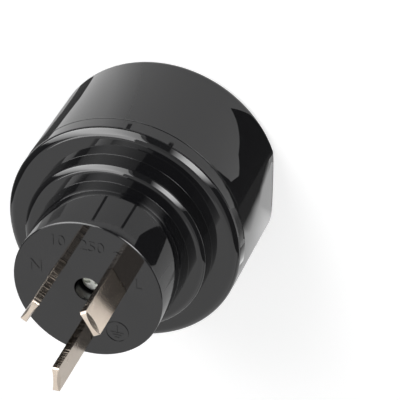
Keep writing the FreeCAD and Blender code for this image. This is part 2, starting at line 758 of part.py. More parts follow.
def bracket_screws():
    """Two short screws through the bracket and the cover into the posts."""
    screws = []
    for y, lift in ((post_y, 0.0), (-post_y, brass_t)):
        seat = bar_top_z + lift
        top = seat + bracket_head_h
        head = turned([(0, seat), (bracket_head_r, seat), (bracket_head_r, top - bracket_head_round),
                       round_over(bracket_head_r, top, bracket_head_round), (0, top)])
        for turn in (0, 90):
            slot = block(-bracket_slot_w / 2, bracket_slot_w / 2, -bracket_slot_len / 2,
                         bracket_slot_len / 2, top - bracket_slot_d, top + past)
            slot.rotate(Vec(0, 0, 0), UP, turn)
            head = head.cut(slot)
        screw = head.fuse(disc(bracket_screw_r, floor_z + bracket_screw_gap, seat + weld))
        screw.translate(Vec(0, y, 0))
        screws.append(screw.removeSplitter())
    return Part.makeCompound(screws)


def assembly_screw():
    """Long screw from the plug face into the boss; its head has a notch on each side."""
    low = mate_z - screw_bite
    top = head_z + screw_head_h
    head = turned([(0, head_z), (screw_head_r, head_z), (screw_head_r, top - screw_head_round),
                   round_over(screw_head_r, top, screw_head_round), (0, top)])
    for hand in (1, -1):
        x_low, x_high = sorted((hand * screw_web / 2, hand * (screw_head_r + past)))
        notch = block(x_low, x_high, -screw_notch_w / 2, screw_notch_w / 2, top - screw_notch_d, face_z)
        head = head.cut(notch)
    shank = disc(screw_r, low, head_z + weld)
    point = cone(screw_tip_r, screw_r, low - screw_point, low)
    return joined(head, shank, point)


makers = (socket_shell, plug_shell, shutter_rotor, shutter_spring, shutter_cover, contact_carrier,
          blade_holder, live_blade, neutral_blade, earth_blade, live_contact, neutral_contact,
          live_jaw_spring, neutral_jaw_spring, contact_rivets, earth_bracket, earth_link,
          earth_clip_upper, earth_clip_lower, clip_rivets, bracket_screws, assembly_screw)

os.makedirs("parts", exist_ok=True)
for maker in makers:
    shape = maker()
    if len(shape.Solids) == 1:
        shape = shape.Solids[0]
    box = shape.BoundBox
    print("%-20s solids %d valid %s volume %8.1f  z %.2f..%.2f" % (
        maker.__name__, len(shape.Solids), shape.isValid(), shape.Volume, box.ZMin, box.ZMax))
    shape.exportStep(os.path.join("parts", maker.__name__ + ".step"))
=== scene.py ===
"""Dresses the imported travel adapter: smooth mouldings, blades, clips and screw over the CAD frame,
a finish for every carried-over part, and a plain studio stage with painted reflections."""

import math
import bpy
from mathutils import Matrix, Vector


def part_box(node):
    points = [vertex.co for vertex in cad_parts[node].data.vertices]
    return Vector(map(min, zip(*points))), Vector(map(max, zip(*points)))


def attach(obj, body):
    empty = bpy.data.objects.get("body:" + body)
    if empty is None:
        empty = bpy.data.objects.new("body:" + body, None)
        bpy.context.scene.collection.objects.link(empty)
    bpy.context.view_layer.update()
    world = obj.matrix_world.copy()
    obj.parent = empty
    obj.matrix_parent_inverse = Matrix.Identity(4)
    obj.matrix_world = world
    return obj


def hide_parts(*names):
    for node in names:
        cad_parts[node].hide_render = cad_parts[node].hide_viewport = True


bl_info = {
    "name": "Travel adapter",
    "version": (1, 0, 0),
    "blender": (4, 5, 0),
    "location": "3D View > Sidebar > Adapter",
    "description": "Mouldings, blades, clips, finishes and stage of a travel adapter",
    "category": "Object",
}

from types import SimpleNamespace

import bmesh
import bpy
from bpy.props import FloatProperty, FloatVectorProperty, PointerProperty
from mathutils import Matrix, Vector
from mathutils.geometry import delaunay_2d_cdt

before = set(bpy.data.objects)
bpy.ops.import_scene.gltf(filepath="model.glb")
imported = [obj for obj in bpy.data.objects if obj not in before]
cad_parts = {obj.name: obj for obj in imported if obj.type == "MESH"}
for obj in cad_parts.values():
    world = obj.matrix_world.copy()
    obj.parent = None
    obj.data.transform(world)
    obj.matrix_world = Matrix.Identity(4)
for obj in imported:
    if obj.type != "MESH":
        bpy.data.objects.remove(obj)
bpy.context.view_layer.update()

MM = 0.001


def linear(code):
    """sRGB hex to the linear colour that a socket takes."""
    parts = [int(code[i:i + 2], 16) / 255 for i in (1, 3, 5)]
    return [c / 12.92 if c <= 0.04045 else ((c + 0.055) / 1.055) ** 2.4 for c in parts] + [1.0]


def length(size, name):
    """A length property whose default is given in millimetres."""
    return FloatProperty(name=name, default=size * MM, min=0.0, precision=5, unit="LENGTH")


def colour(code, name):
    return FloatVectorProperty(name=name, default=linear(code), size=4, min=0.0, max=1.0,
                               subtype="COLOR")


class AdapterSizes(bpy.types.PropertyGroup):
    """Sizes of the shown pieces; heights count from the socket rim."""

    body_r: length(27.7, "Outside of the socket moulding")
    flat_x: length(25.9, "Middle to each side flat")
    body_h: length(27.3, "Rim to the seam between the mouldings")
    rim_round: length(2.0, "Rounding of the outer rim edge")
    hollow_r: length(25.4, "Inside of the socket moulding's outer wall")
    hollow_x: length(23.7, "Middle to the inside of each side flat")
    rim_plate: length(2.5, "Thickness of the ring face")
    well_mouth_r: length(20.2, "Radius of the socket well at its mouth")
    well_edge: length(0.35, "Break on the well's mouth")
    well_foot_r: length(19.75, "Radius of the socket well at its floor")
    well_out_r: length(21.5, "Outside of the well's wall")
    well_depth: length(17.5, "Rim to the well's floor")
    floor_z: length(19.5, "Rim to the top of the well's floor")
    ledge_x: length(17.3, "Middle to each flat guide")
    ledge_depth: length(4.0, "Rim to the start of the guides")
    ledge_slot: length(5.9, "Gap in the middle of each guide face")
    pin_x: length(9.5, "Middle to each contact hole")
    pin_hole_r: length(2.9, "Radius of each contact hole")
    clip_slot_w: length(5.4, "Width of each clip slot")
    clip_slot_low: length(2.6, "Rim to the start of each clip slot")
    clip_slot_top: length(16.7, "Rim to the end of each clip slot")
    band_low: length(27.45, "Rim to the lower edge of the plug moulding")
    band_r: length(27.65, "Outside of the band above the seam")
    shoulder_z: length(32.8, "Rim to the shoulder")
    shoulder_round: length(2.0, "Rounding of the shoulder's edge")
    ring_foot_r: length(21.6, "Radius of the step at its foot")
    ring_r: length(21.5, "Radius of the step")
    ring_z: length(38.2, "Rim to the top of the step")
    ring_round: length(1.6, "Rounding of the step's edge")
    neck_foot_r: length(17.85, "Radius of the neck at its foot")
    face_r: length(17.4, "Radius of the plug face")
    face_z: length(54.7, "Rim to the plug face")
    face_round: length(0.32, "Rounding of the face's edge")
    ceiling_z: length(51.7, "Rim to the back of the plug face")
    plug_wall: length(2.0, "Wall of the plug moulding")
    column_r: length(5.0, "Column round the assembly screw")
    column_z: length(36.0, "Rim to the column's end")
    screw_hole_r: length(3.0, "Sunk hole in the plug face")
    screw_seat_z: length(49.6, "Rim to the screw head's seat")
    blade_w: length(6.35, "Width of each blade")
    blade_t: length(1.6, "Thickness of each blade")
    blade_r: length(7.92, "Middle to each slanted blade")
    earth_r: length(10.31, "Middle to the earth blade")
    blade_len: length(17.1, "Slanted blades beyond the face")
    earth_len: length(20.3, "Earth blade beyond the face")
    clip_w: length(4.3, "Width of each earth clip")
    clip_t: length(0.45, "Thickness of each earth clip")
    screw_head_r: length(2.7, "Radius of the assembly screw's head")
    screw_head_h: length(1.8, "Height of the assembly screw's head")


class AdapterColours(bpy.types.PropertyGroup):
    """Colours of the finishes."""

    black: colour("#121214", "Polished black mouldings")
    inner: colour("#26262a", "Plain black mouldings")
    red: colour("#d23824", "Red shutter")
    nickel: colour("#cbbeb0", "Nickel plating on the blades")
    clip: colour("#cfc9be", "Plating on the earth clips")
    brass: colour("#c9a86a", "Bare rolled brass")
    zinc: colour("#e6e8e2", "Zinc plating on the screws")
    spring: colour("#86868a", "Drawn spring steel")
    floor: colour("#d8d8d8", "Floor under the adapter")


def in_mm(context):
    """The sizes in millimetres, which the shapes are drawn in."""
    group = context.scene.adapter_sizes
    return SimpleNamespace(**{key: getattr(group, key) / MM for key in AdapterSizes.__annotations__})


# Drawing

def rounded(corners, closed=False, steps=7, hold=0.1):
    """Points along (x, y, radius) corners. Each round gets a point just before and after it, so that
    the flats beside it stay flat in shading."""
    points = []
    count = len(corners)
    for i, (x, y, radius) in enumerate(corners):
        here = Vector((x, y))
        if not radius or (not closed and i in (0, count - 1)):
            points.append((x, y))
            continue
        back = (Vector(corners[i - 1][:2]) - here)
        ahead = (Vector(corners[(i + 1) % count][:2]) - here)
        room = min(back.length, ahead.length)
        back.normalize()
        ahead.normalize()
        half = back.angle(ahead) / 2
        reach = radius / math.tan(half)
        middle = here + (back + ahead).normalized() * (radius / math.sin(half))
        start, end = here + back * reach, here + ahead * reach
        arc = []
        for k in range(steps + 1):
            way = (start - middle).slerp(end - middle, k / steps)
            arc.append(middle + way.normalized() * radius)
        if reach + hold < room:
            arc = [start + back * hold] + arc + [end + ahead * hold]
        points += [tuple(p) for p in arc]
    return points


def circle(r, z, x=0.0, y=0.0, steps=192):
    return [(x + r * math.cos(2 * math.pi * i / steps), y + r * math.sin(2 * math.pi * i / steps), z)
            for i in range(steps)]


class Shape:
    """Faces drawn in millimetres that become one mesh piece."""

    def __init__(self):
        self.bm = bmesh.new()

    def loop(self, points):
        return [self.bm.verts.new(point) for point in points]

    def skin(self, loops, closed=True, skip=None):
        """Quads from each loop to the next; skip(row, column) leaves a gap."""
        for row, (a, b) in enumerate(zip(loops, loops[1:])):
            for i in range(len(a) if closed else len(a) - 1):
                j = (i + 1) % len(a)
                if not skip or not skip(row, i):
                    self.bm.faces.new((a[i], a[j], b[j], b[i]))

    def fill(self, outer, holes=()):
        """Flat triangles inside one loop and outside the others."""
        verts, edges = [], []
        for loop in (outer, *holes):
            first = len(verts)
            verts += loop
            edges += [(first + i, first + (i + 1) % len(loop)) for i in range(len(loop))]
        flat = [Vector((v.co.x, v.co.y)) for v in verts]
        result = delaunay_2d_cdt(flat, edges, [], 1, 1e-7)
        origin = [same[0] for same in result[3]]
        rings = [[Vector((v.co.x, v.co.y)) for v in loop] for loop in holes]
        for face in result[2]:
            corners = [verts[origin[i]] for i in face]
            middle = sum((Vector((v.co.x, v.co.y)) for v in corners), Vector((0, 0))) / 3
            if not any(inside(middle, ring) for ring in rings):
                self.bm.faces.new(corners)

    def solid(self, loops):
        """Skin with both ends filled."""
        self.skin(loops)
        self.bm.faces.new(loops[0])
        self.bm.faces.new(loops[-1])

    def turned(self, points, ring=circle, skip=None):
        """Skin through ring(r, z) at each point (r, z)."""
        loops = [self.loop(ring(r, z)) for r, z in points]
        self.skin(loops, skip=skip)
        return loops

    def sector(self, r_out, r_in, start, end, low, high):
        """Closed part of a ring between two angles in degrees."""
        steps = max(2, int((end - start) / 3))
        turns = [math.radians(start + (end - start) * i / steps) for i in range(steps + 1)]
        loops = [self.loop([(r * math.cos(t), r * math.sin(t), z)
                            for r, z in ((r_out, low), (r_out, high), (r_in, high), (r_in, low))])
                 for t in turns]
        self.solid(loops)

    def piece(self, name, material, body, slot, replaces=(), sharp=38):
        self.bm.transform(Matrix.Scale(MM, 4))
        return finish(self.bm, name, material, body, replaces, sharp)


def inside(point, ring):
    """Whether a point lies in a closed outline."""
    hit = False
    for a, b in zip(ring, ring[1:] + ring[:1]):
        if (a.y > point.y) != (b.y > point.y):
            if point.x < a.x + (point.y - a.y) * (b.x - a.x) / (b.y - a.y):
                hit = not hit
    return hit


def finish(bm, name, material, body, replaces=(), sharp=38):
    """Closes the mesh, points its faces outwards, keeps sharp edges sharp, and puts it on its body."""
    bmesh.ops.remove_doubles(bm, verts=bm.verts, dist=2e-7)
    bmesh.ops.dissolve_degenerate(bm, dist=1e-8, edges=bm.edges)
    bmesh.ops.recalc_face_normals(bm, faces=bm.faces)
    for face in bm.faces:
        face.smooth = True
        face.material_index = 0
    for edge in bm.edges:
        edge.smooth = edge.calc_face_angle(0.0) < math.radians(sharp)
    mesh = bpy.data.meshes.new(name)
    bm.to_mesh(mesh)
    bm.free()
    mesh.materials.append(material)
    made = bpy.data.objects.new(name, mesh)
    bpy.context.scene.collection.objects.link(made)
    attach(made, body)
    if replaces:
        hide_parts(*replaces)
    return made


def loose(data, name):
    """A plain object with a mesh, a curve or what a bmesh holds."""
    if isinstance(data, bmesh.types.BMesh):
        bm, data = data, bpy.data.meshes.new(name)
        bm.to_mesh(data)
        bm.free()
    made = bpy.data.objects.new(name, data)
    bpy.context.scene.collection.objects.link(made)
    return made


def taken(made):
    """The mesh that an object's modifiers give, as a bmesh; the object goes."""
    seen = made.evaluated_get(bpy.context.evaluated_depsgraph_get())
    mesh = bpy.data.meshes.new_from_object(seen)
    bm = bmesh.new()
    bm.from_mesh(mesh)
    bpy.data.objects.remove(made)
    bpy.data.meshes.remove(mesh)
    return bm


def merge(bm, other):
    """Adds the other bmesh, which goes."""
    mesh = bpy.data.meshes.new("part")
    other.to_mesh(mesh)
    other.free()
    bm.from_mesh(mesh)
    bpy.data.meshes.remove(mesh)


def cut(body, tools, edge):
    """Takes the tools away from the body and breaks the sharp edges that this leaves. Millimetres."""
    for bm in (body.bm, tools.bm):
        bmesh.ops.recalc_face_normals(bm, faces=bm.faces)
    target = loose(body.bm, "cut_body")
    tool = loose(tools.bm, "cut_tools")
    less = target.modifiers.new("cut", "BOOLEAN")
    less.operation = "DIFFERENCE"
    less.solver = "EXACT"
    less.object = tool
    if edge:
        broken = target.modifiers.new("edge", "BEVEL")
        broken.width = edge
        broken.segments = 3
        broken.limit_method = "ANGLE"
        broken.angle_limit = math.radians(40)
    made = Shape()
    made.bm = taken(target)
    bpy.data.objects.remove(tool)
    return made


# Materials

def node(tree, kind, inputs=(), **settings):
    """Adds a node with its settings; inputs hold a value, a socket to link from, or a node whose
    first output is linked."""
    made = tree.nodes.new(kind)
    for key, value in settings.items():
        setattr(made, key, value)
    for socket, value in dict(inputs).items():
        if isinstance(value, bpy.types.Node):
            value = value.outputs[0]
        if isinstance(value, bpy.types.NodeSocket):
            tree.links.new(value, made.inputs[socket])
        else:
            made.inputs[socket].default_value = value
    return made


def blank(name):
    """A material with an empty tree, kept if it was made before."""
    material = bpy.data.materials.get(name) or bpy.data.materials.new(name)
    material.use_nodes = True
    material.node_tree.nodes.clear()
    return material, material.node_tree


def polished_black_abs(colours):
    """ABS moulded in a polished tool: near black and mirror-like. The flow of the plastic leaves a
    slow ripple of 4 mm and a fine orange peel of 0.5 mm, which soften straight reflections."""
    material, tree = blank("polished_black_abs")
    place = node(tree, "ShaderNodeTexCoord").outputs["Object"]
    flow = node(tree, "ShaderNodeTexNoise", {
        "Vector": place, "Scale": 1 / (4 * MM), "Detail": 2.0, "Roughness": 0.4})
    peel = node(tree, "ShaderNodeTexNoise", {"Vector": place, "Scale": 1 / (0.5 * MM), "Detail": 1.0})
    slow = node(tree, "ShaderNodeBump", {"Height": flow, "Distance": 0.004 * MM, "Strength": 0.5})
    skin = node(tree, "ShaderNodeBump", {
        "Height": peel, "Distance": 0.0006 * MM, "Strength": 0.5, "Normal": slow})
    wipe = node(tree, "ShaderNodeTexNoise", {"Vector": place, "Scale": 1 / (9 * MM), "Detail": 4.0})
    gloss = node(tree, "ShaderNodeMapRange", {
        "Value": wipe, "From Min": 0.35, "From Max": 0.7, "To Min": 0.03, "To Max": 0.06})
    shader = node(tree, "ShaderNodeBsdfPrincipled", {
        "Base Color": colours.black, "IOR": 1.5, "Roughness": gloss, "Normal": skin})
    node(tree, "ShaderNodeOutputMaterial", {"Surface": shader})
    return material


def plain_black_nylon(colours):
    """Nylon moulded in a spark-eroded tool: dark grey and matt, with a grain of 0.25 mm."""
    material, tree = blank("plain_black_nylon")
    place = node(tree, "ShaderNodeTexCoord").outputs["Object"]
    grain = node(tree, "ShaderNodeTexNoise", {"Vector": place, "Scale": 1 / (0.25 * MM), "Detail": 3.0})
    tone = node(tree, "ShaderNodeMapRange", {"Value": grain, "To Min": 0.45, "To Max": 0.65})
    rough = node(tree, "ShaderNodeBump", {"Height": grain, "Distance": 0.02 * MM, "Strength": 0.4})
    shader = node(tree, "ShaderNodeBsdfPrincipled", {
        "Base Color": colours.inner, "IOR": 1.53, "Roughness": tone, "Normal": rough})
    node(tree, "ShaderNodeOutputMaterial", {"Surface": shader})
    return material


def moulded_red_abs(colours):
    """Coloured ABS: the pigment swirls a little with the flow, and light goes a little way in."""
    material, tree = blank("moulded_red_abs")
    place = node(tree, "ShaderNodeTexCoord").outputs["Object"]
    swirl = node(tree, "ShaderNodeTexNoise", {
        "Vector": place, "Scale": 1 / (5 * MM), "Detail": 3.0, "Distortion": 0.6})
    deep = node(tree, "ShaderNodeHueSaturation", {"Color": colours.red, "Value": 0.82})
    pigment = node(tree, "ShaderNodeMix", {
        "Factor": swirl, "A": colours.red, "B": deep}, data_type="RGBA")
    gloss = node(tree, "ShaderNodeMapRange", {"Value": swirl, "To Min": 0.18, "To Max": 0.3})
    shader = node(tree, "ShaderNodeBsdfPrincipled", {
        "Base Color": pigment.outputs["Result"], "IOR": 1.5, "Roughness": gloss,
        "Subsurface Weight": 0.08, "Subsurface Scale": 0.4 * MM})
    node(tree, "ShaderNodeOutputMaterial", {"Surface": shader})
    return material


def rolled_metal(name, base, rough, lines, along=(1, 1, 0.02), depth=0.6):
    """Rolled strip, plated or bare: fine lines along the way it was rolled, drawn here 0.12 mm apart,
    coarser than the real ones so that they show, and slow patches of duller plating. Faces that a
    piece marks as sheared are darker and have the press's short lines across them instead, 0.4 mm
    apart."""
    material, tree = blank(name)
    place = node(tree, "ShaderNodeTexCoord").outputs["Object"]
    run = node(tree, "ShaderNodeMapping", {"Vector": place, "Scale": along})
    grain = node(tree, "ShaderNodeTexNoise", {
        "Vector": run, "Scale": 1 / (0.12 * MM), "Detail": 3.0, "Roughness": 0.6})
    patch = node(tree, "ShaderNodeTexNoise", {"Vector": place, "Scale": 1 / (3 * MM), "Detail": 4.0})
    shade = node(tree, "ShaderNodeMapRange", {
        "Value": grain, "From Min": 0.3, "From Max": 0.7, "To Min": 1 - lines, "To Max": 1.0})
    marked = node(tree, "ShaderNodeAttribute", attribute_name="sheared").outputs["Fac"]
    darker = node(tree, "ShaderNodeMapRange", {"Value": marked, "To Min": 1.0, "To Max": 0.4})
    shade = node(tree, "ShaderNodeMath", {0: shade, 1: darker}, operation="MULTIPLY")
    tone = node(tree, "ShaderNodeHueSaturation", {"Color": base, "Value": shade})
    dull = node(tree, "ShaderNodeMapRange", {
        "Value": patch, "From Min": 0.3, "From Max": 0.75, "To Min": rough * 0.9,
        "To Max": rough * 1.15})
    clean = node(tree, "ShaderNodeMapRange", {"Value": marked, "To Min": 1.0, "To Max": 0.55})
    dull = node(tree, "ShaderNodeMath", {0: dull, 1: clean}, operation="MULTIPLY")
    fade = node(tree, "ShaderNodeMapRange", {"Value": marked, "To Min": depth, "To Max": 0.0})
    groove = node(tree, "ShaderNodeBump", {"Height": grain, "Distance": 0.002 * MM, "Strength": fade})
    across = node(tree, "ShaderNodeMapping", {"Vector": place, "Scale": (0.02, 0.02, 1)})
    press = node(tree, "ShaderNodeTexNoise", {"Vector": across, "Scale": 1 / (0.4 * MM), "Detail": 2.0})
    torn = node(tree, "ShaderNodeMath", {0: press, 1: marked}, operation="MULTIPLY")
    shear = node(tree, "ShaderNodeBump", {"Height": torn, "Distance": 0.12 * MM, "Normal": groove})
    shader = node(tree, "ShaderNodeBsdfPrincipled", {
        "Base Color": tone, "Metallic": 1.0, "Roughness": dull, "Normal": shear})
    node(tree, "ShaderNodeOutputMaterial", {"Surface": shader})
    return material


def nickel_plated_brass(colours):
    """Bright nickel over stamped brass: warm grey, with lines along each blade."""
    return rolled_metal("nickel_plated_brass", colours.nickel, 0.25, 0.12)


def plated_spring_bronze(colours):
    """Nickel over bronze strip: bright, with lines along each clip."""
    return rolled_metal("plated_spring_bronze", colours.clip, 0.22, 0.15)


def rolled_brass(colours):
    """Bare brass strip: yellow, with dull patches where it has tarnished."""
    return rolled_metal("rolled_brass", colours.brass, 0.3, 0.2)


def zinc_plated_steel(colours):
    """Bright zinc on a cold-headed screw: pale grey and satin, with an even fine grain."""
    return rolled_metal("zinc_plated_steel", colours.zinc, 0.45, 0.1, along=(1, 1, 1))


def drawn_spring_steel(colours):
    """Drawn wire and hard strip: dark grey, satin."""
    return rolled_metal("drawn_spring_steel", colours.spring, 0.32, 0.2, along=(0.3, 0.3, 1))


# Pieces

def flat_ring(r, z, flat_x, steps=84):
    """Ring with a flat on each side, closer columns beside the flats' edges."""
    half = math.acos(min(1.0, flat_x / r))
    edge = min(0.15 / r, half / 3)
    points = []
    for side in (0.0, math.pi):
        reach = r * math.sin(half)
        near = 1 - (0.15 / reach if reach > 0.5 else 0.3)
        for part in (-1, -near, -0.6, -0.2, 0.2, 0.6, near):
            x, y = flat_x if half else r, reach * part
            points.append((x * math.cos(side), y * math.cos(side), z))
        first, last = half + edge, math.pi - half - edge
        turns = [half, first] + [first + (last - first) * i / steps for i in range(1, steps + 1)]
        points += [(r * math.cos(t + side), r * math.sin(t + side), z) for t in turns]
    return points


def well_ring(r, z, half_w, steps=84):
    """Ring whose columns run straight beside both clip slots; columns 0 to 6 lie over a slot."""
    half = math.asin(half_w / r)
    edge = 0.12 / r
    points = []
    for side in (math.pi / 2, 3 * math.pi / 2):
        for i in range(6):
            turn = side - half + 2 * half * i / 6
            points.append((r * math.cos(turn), r * math.sin(turn), z))
        first, last = side + half, side + math.pi - half
        turns = [first, first + edge]
        turns += [first + edge + (last - first - 2 * edge) * i / steps for i in range(1, steps + 1)]
        points += [(r * math.cos(t), r * math.sin(t), z) for t in turns]
    return points


class ADAPTER_OT_socket_body(bpy.types.Operator):
    """Socket moulding: outer wall with side flats, rim, well, guides, floor and what stands on it"""

    bl_idname = "adapter.socket_body"
    bl_label = "Socket body"

    def execute(self, context):
        s = in_mm(context)
        shape = Shape()
        outer = lambda r, z: flat_ring(r, z, s.flat_x)
        inner = lambda r, z: flat_ring(r, z, s.hollow_x)
        well = lambda r, z: well_ring(r, z, s.clip_slot_w / 2)

        # Outer wall from the seam round the rim edge to the ring face
        wall = rounded([(s.hollow_r + 0.3, s.body_h, 0), (s.body_r, s.body_h, 0.05),
                        (s.body_r, 0, s.rim_round), (s.well_mouth_r + 3, 0, 0)], steps=14)
        outside = shape.turned(wall[1:-1], outer)
        # Inside wall and the back of the ring face
        inside_wall = shape.turned([(s.hollow_r, s.body_h), (s.hollow_r, s.rim_plate)], inner)
        shape.skin([inside_wall[0], outside[0]])

        # Well: mouth, wall with a slot for each clip, floor with a hole for each pin
        slope = lambda z: s.well_mouth_r - (s.well_mouth_r - s.well_foot_r) * (z - s.well_edge) / (
            s.well_depth - s.well_edge)
        lip = s.well_mouth_r + s.well_edge
        low, top = s.clip_slot_low, s.clip_slot_top
        rows = [(lip + 0.12, 0), (lip, 0)]
        rows += [(lip - s.well_edge * math.sin(a), s.well_edge * (1 - math.cos(a)))
                 for a in (0.4, 0.8, 1.2, math.pi / 2)]
        rows += [(slope(z), z) for z in (0.5, low, (low + top) / 2, top, s.well_depth - 0.25)]
        rows += [(s.well_foot_r - 0.08, s.well_depth - 0.06), (s.well_foot_r - 0.25, s.well_depth),
                 (s.well_foot_r - 0.4, s.well_depth)]
        # well_ring has 92 columns in half a turn; this is one short of that
        half_turn, over_slot = 91, 6
        in_slot = lambda column: column % half_turn < over_slot
        first = rows.index((slope(low), low))
        gap = lambda row, column: row in (first, first + 1) and in_slot(column)
        sides = shape.turned(rows, well, skip=gap)
        back = [(s.well_out_r, z) for z in (s.rim_plate, low, (low + top) / 2, top, s.floor_z)]
        shell = shape.turned(back, well, skip=lambda row, column: row in (1, 2) and in_slot(column))
        for start in (0, half_turn):
            end = start + over_slot
            for row, other in ((first, 1), (first + 2, 3)):
                shape.skin([sides[row][start:end + 1], shell[other][start:end + 1]], closed=False)
            for column in (start, end):
                shape.skin([[sides[first + k][column] for k in range(3)],
                            [shell[1 + k][column] for k in range(3)]], closed=False)
        shape.fill(outside[-1], [sides[0]])
        shape.fill(inside_wall[1], [shell[0]])
        holes, tops = [], []
        for x in (s.pin_x, -s.pin_x):
            hole = [(s.pin_hole_r + 0.5, s.well_depth), (s.pin_hole_r + 0.4, s.well_depth),
                    (s.pin_hole_r + 0.02, s.well_depth + 0.38), (s.pin_hole_r, s.well_depth + 0.5),
                    (s.pin_hole_r, s.floor_z)]
            loops = shape.turned(hole, lambda r, z: circle(r, z, x, 0, 64))
            holes.append(loops[0])
            tops.append(loops[-1])
        shape.fill(sides[-1], holes)
        shape.fill(shell[-1], tops)

        # Bare raised plate on the well's floor, above the contact holes
        half, low_y, high_y, corner = 7.2, 5.3, 9.9, 0.6
        plate = lambda g, z: [(x, y, z) for x, y in rounded(
            [(half + g, high_y + g, corner), (-half - g, high_y + g, corner),
             (-half - g, low_y - g, corner), (half + g, low_y - g, corner)], closed=True, steps=4)]
        ends = [shape.loop(plate(g, s.well_depth + z)) for g, z in (
            (0, 0.3), (0, -0.2), (-0.05, -0.25), (-0.15, -0.25), (-0.35, -0.25), (-0.4, -0.2))]
        shape.solid(ends)

        # Flat guides left and right in the well
        for mirror in (1, -1):
            for hand in (1, -1):
                reach = s.well_mouth_r + 0.3
                end = math.asin(math.sqrt(reach ** 2 - s.ledge_x ** 2) / reach)
                start = math.asin(s.ledge_slot / 2 / reach)
                arc = [(reach * math.cos(start + (end - start) * i / 10),
                        reach * math.sin(start + (end - start) * i / 10)) for i in range(11)]
                plan = [(s.ledge_x, s.ledge_slot / 2)] + arc
                ends = [shape.loop([(mirror * x, hand * y, z) for x, y in plan])
                        for z in (s.ledge_depth, s.ledge_depth + 0.12, s.well_depth + 0.3)]
                for vert, (x, y) in zip(ends[0], plan):
                    if x < s.ledge_x + 1e-6:
                        vert.co.x += mirror * 0.12
                shape.solid(ends)

        # Screw boss, ring round the shutter, posts, stops and the lip inside the plug moulding
        root, ring_top, stop_top = 19.3, 23.4, 22.4
        boss_r, boss_top, bore_r, bore_end = 3.2, 35.9, 1.55, 24.2
        ring_out, ring_in, post_y, post_r, post_bore_r = 15.5, 14.2, 17.6, 2.3, 1.15
        lip_out, lip_in, lip_low, lip_top, lip_turn = 25.45, 24.25, 25.3, 29.3, 138
        shape.turned([(boss_r, root), (boss_r, boss_top), (bore_r, boss_top), (bore_r, bore_end),
                      (0, bore_end)], circle)
        shape.turned([(0, root), (boss_r, root)], circle)
        shape.turned([(ring_out, root), (ring_out, ring_top), (ring_in, ring_top), (ring_in, root),
                      (ring_out, root)], circle)
        for y in (post_y, -post_y):
            post = [(0, root), (post_r, root), (post_r, ring_top), (post_bore_r, ring_top),
                    (post_bore_r, root + 0.1), (0, root + 0.1)]
            shape.turned(post, lambda r, z: circle(r, z, 0, y, 48))
        for start in (-30, 63, 150, 243):
            shape.sector(ring_in + 0.5, 11.8, start, start + 5, root, stop_top)
        for start in (21, 201):
            shape.sector(lip_out, lip_in, start, start + lip_turn, lip_low, lip_top)
        shape.piece("socket_body", polished_black_abs(context.scene.adapter_colours), "housing",
                    "black_plastic", ["socket_shell"])
        return {"FINISHED"}


class ADAPTER_OT_plug_body(bpy.types.Operator):
    """Plug moulding: band, shoulder, step, neck and the face with its slots and sunk screw hole"""

    bl_idname = "adapter.plug_body"
    bl_label = "Plug body"

    def execute(self, context):
        s = in_mm(context)
        shape = Shape()
        w = s.plug_wall
        inner = [(s.face_r - w - 0.2, s.ceiling_z, 0), (s.face_r - w, s.ceiling_z, 0.1),
                 (s.neck_foot_r - w, s.ring_z - w, 0.1), (s.ring_r - w, s.ring_z - w, 0.1),
                 (s.ring_r - w, s.shoulder_z - w, 0.1), (s.band_r - w, s.shoulder_z - w, 0.1),
                 (s.band_r - w, s.band_low, 0)]
        outer = [(s.band_r - w, s.band_low, 0), (s.band_r, s.band_low, 0.06),
                 (s.band_r, s.shoulder_z, s.shoulder_round),
                 (s.ring_foot_r, s.shoulder_z, 0.05), (s.ring_r, s.ring_z, s.ring_round),
                 (s.neck_foot_r, s.ring_z, 0.05), (s.face_r, s.face_z, s.face_round),
                 (s.face_r - 2, s.face_z, 0)]
        walls = shape.turned(rounded(inner, steps=2) + rounded(outer, steps=12)[1:-1],
                             lambda r, z: circle(r, z, steps=256))

        gap, corner = 0.04, 0.15

        def slot(grow, z, out, turn, down):
            """Outline round a blade that stands out from the middle, turned, or down the face."""
            half_t, half_w = s.blade_t / 2 + gap + grow, s.blade_w / 2 + gap + grow
            corners = [(half_t, half_w, corner), (-half_t, half_w, corner), (-half_t, -half_w, corner),
                       (half_t, -half_w, corner)]
            place = Matrix.Rotation(turn, 3, "Z")
            return [place @ Vector((x + out, y - down, z)) for x, y in rounded(corners, True, 3, 0.08)]

        faces, ceilings = [], []
        for blade in ((s.blade_r, math.radians(30), 0), (s.blade_r, math.radians(150), 0),
                      (0, 0, s.earth_r)):
            loops = [shape.loop(slot(grow, z, *blade)) for grow, z in (
                (0.12, s.face_z), (0.06, s.face_z), (0.02, s.face_z - 0.02), (0, s.face_z - 0.06),
                (0, s.face_z - 0.2), (0, s.ceiling_z))]
            shape.skin(loops)
            faces.append(loops[0])
            ceilings.append(loops[-1])
        r, shank_r = s.screw_hole_r, 1.7
        sunk = shape.turned([(r + 0.25, s.face_z), (r + 0.15, s.face_z), (r + 0.04, s.face_z - 0.04),
                             (r, s.face_z - 0.15), (r, s.face_z - 0.3), (r, s.screw_seat_z + 0.1),
                             (r - 0.1, s.screw_seat_z), (shank_r, s.screw_seat_z), (shank_r, s.column_z),
                             (s.column_r, s.column_z), (s.column_r, s.ceiling_z)],
                            lambda r, z: circle(r, z, steps=96))
        shape.fill(walls[-1], faces + [sunk[0]])
        shape.fill(walls[0], ceilings + [sunk[-1]])
        shape.piece("plug_body", polished_black_abs(context.scene.adapter_colours), "housing",
                    "black_plastic", ["plug_shell"])
        return {"FINISHED"}


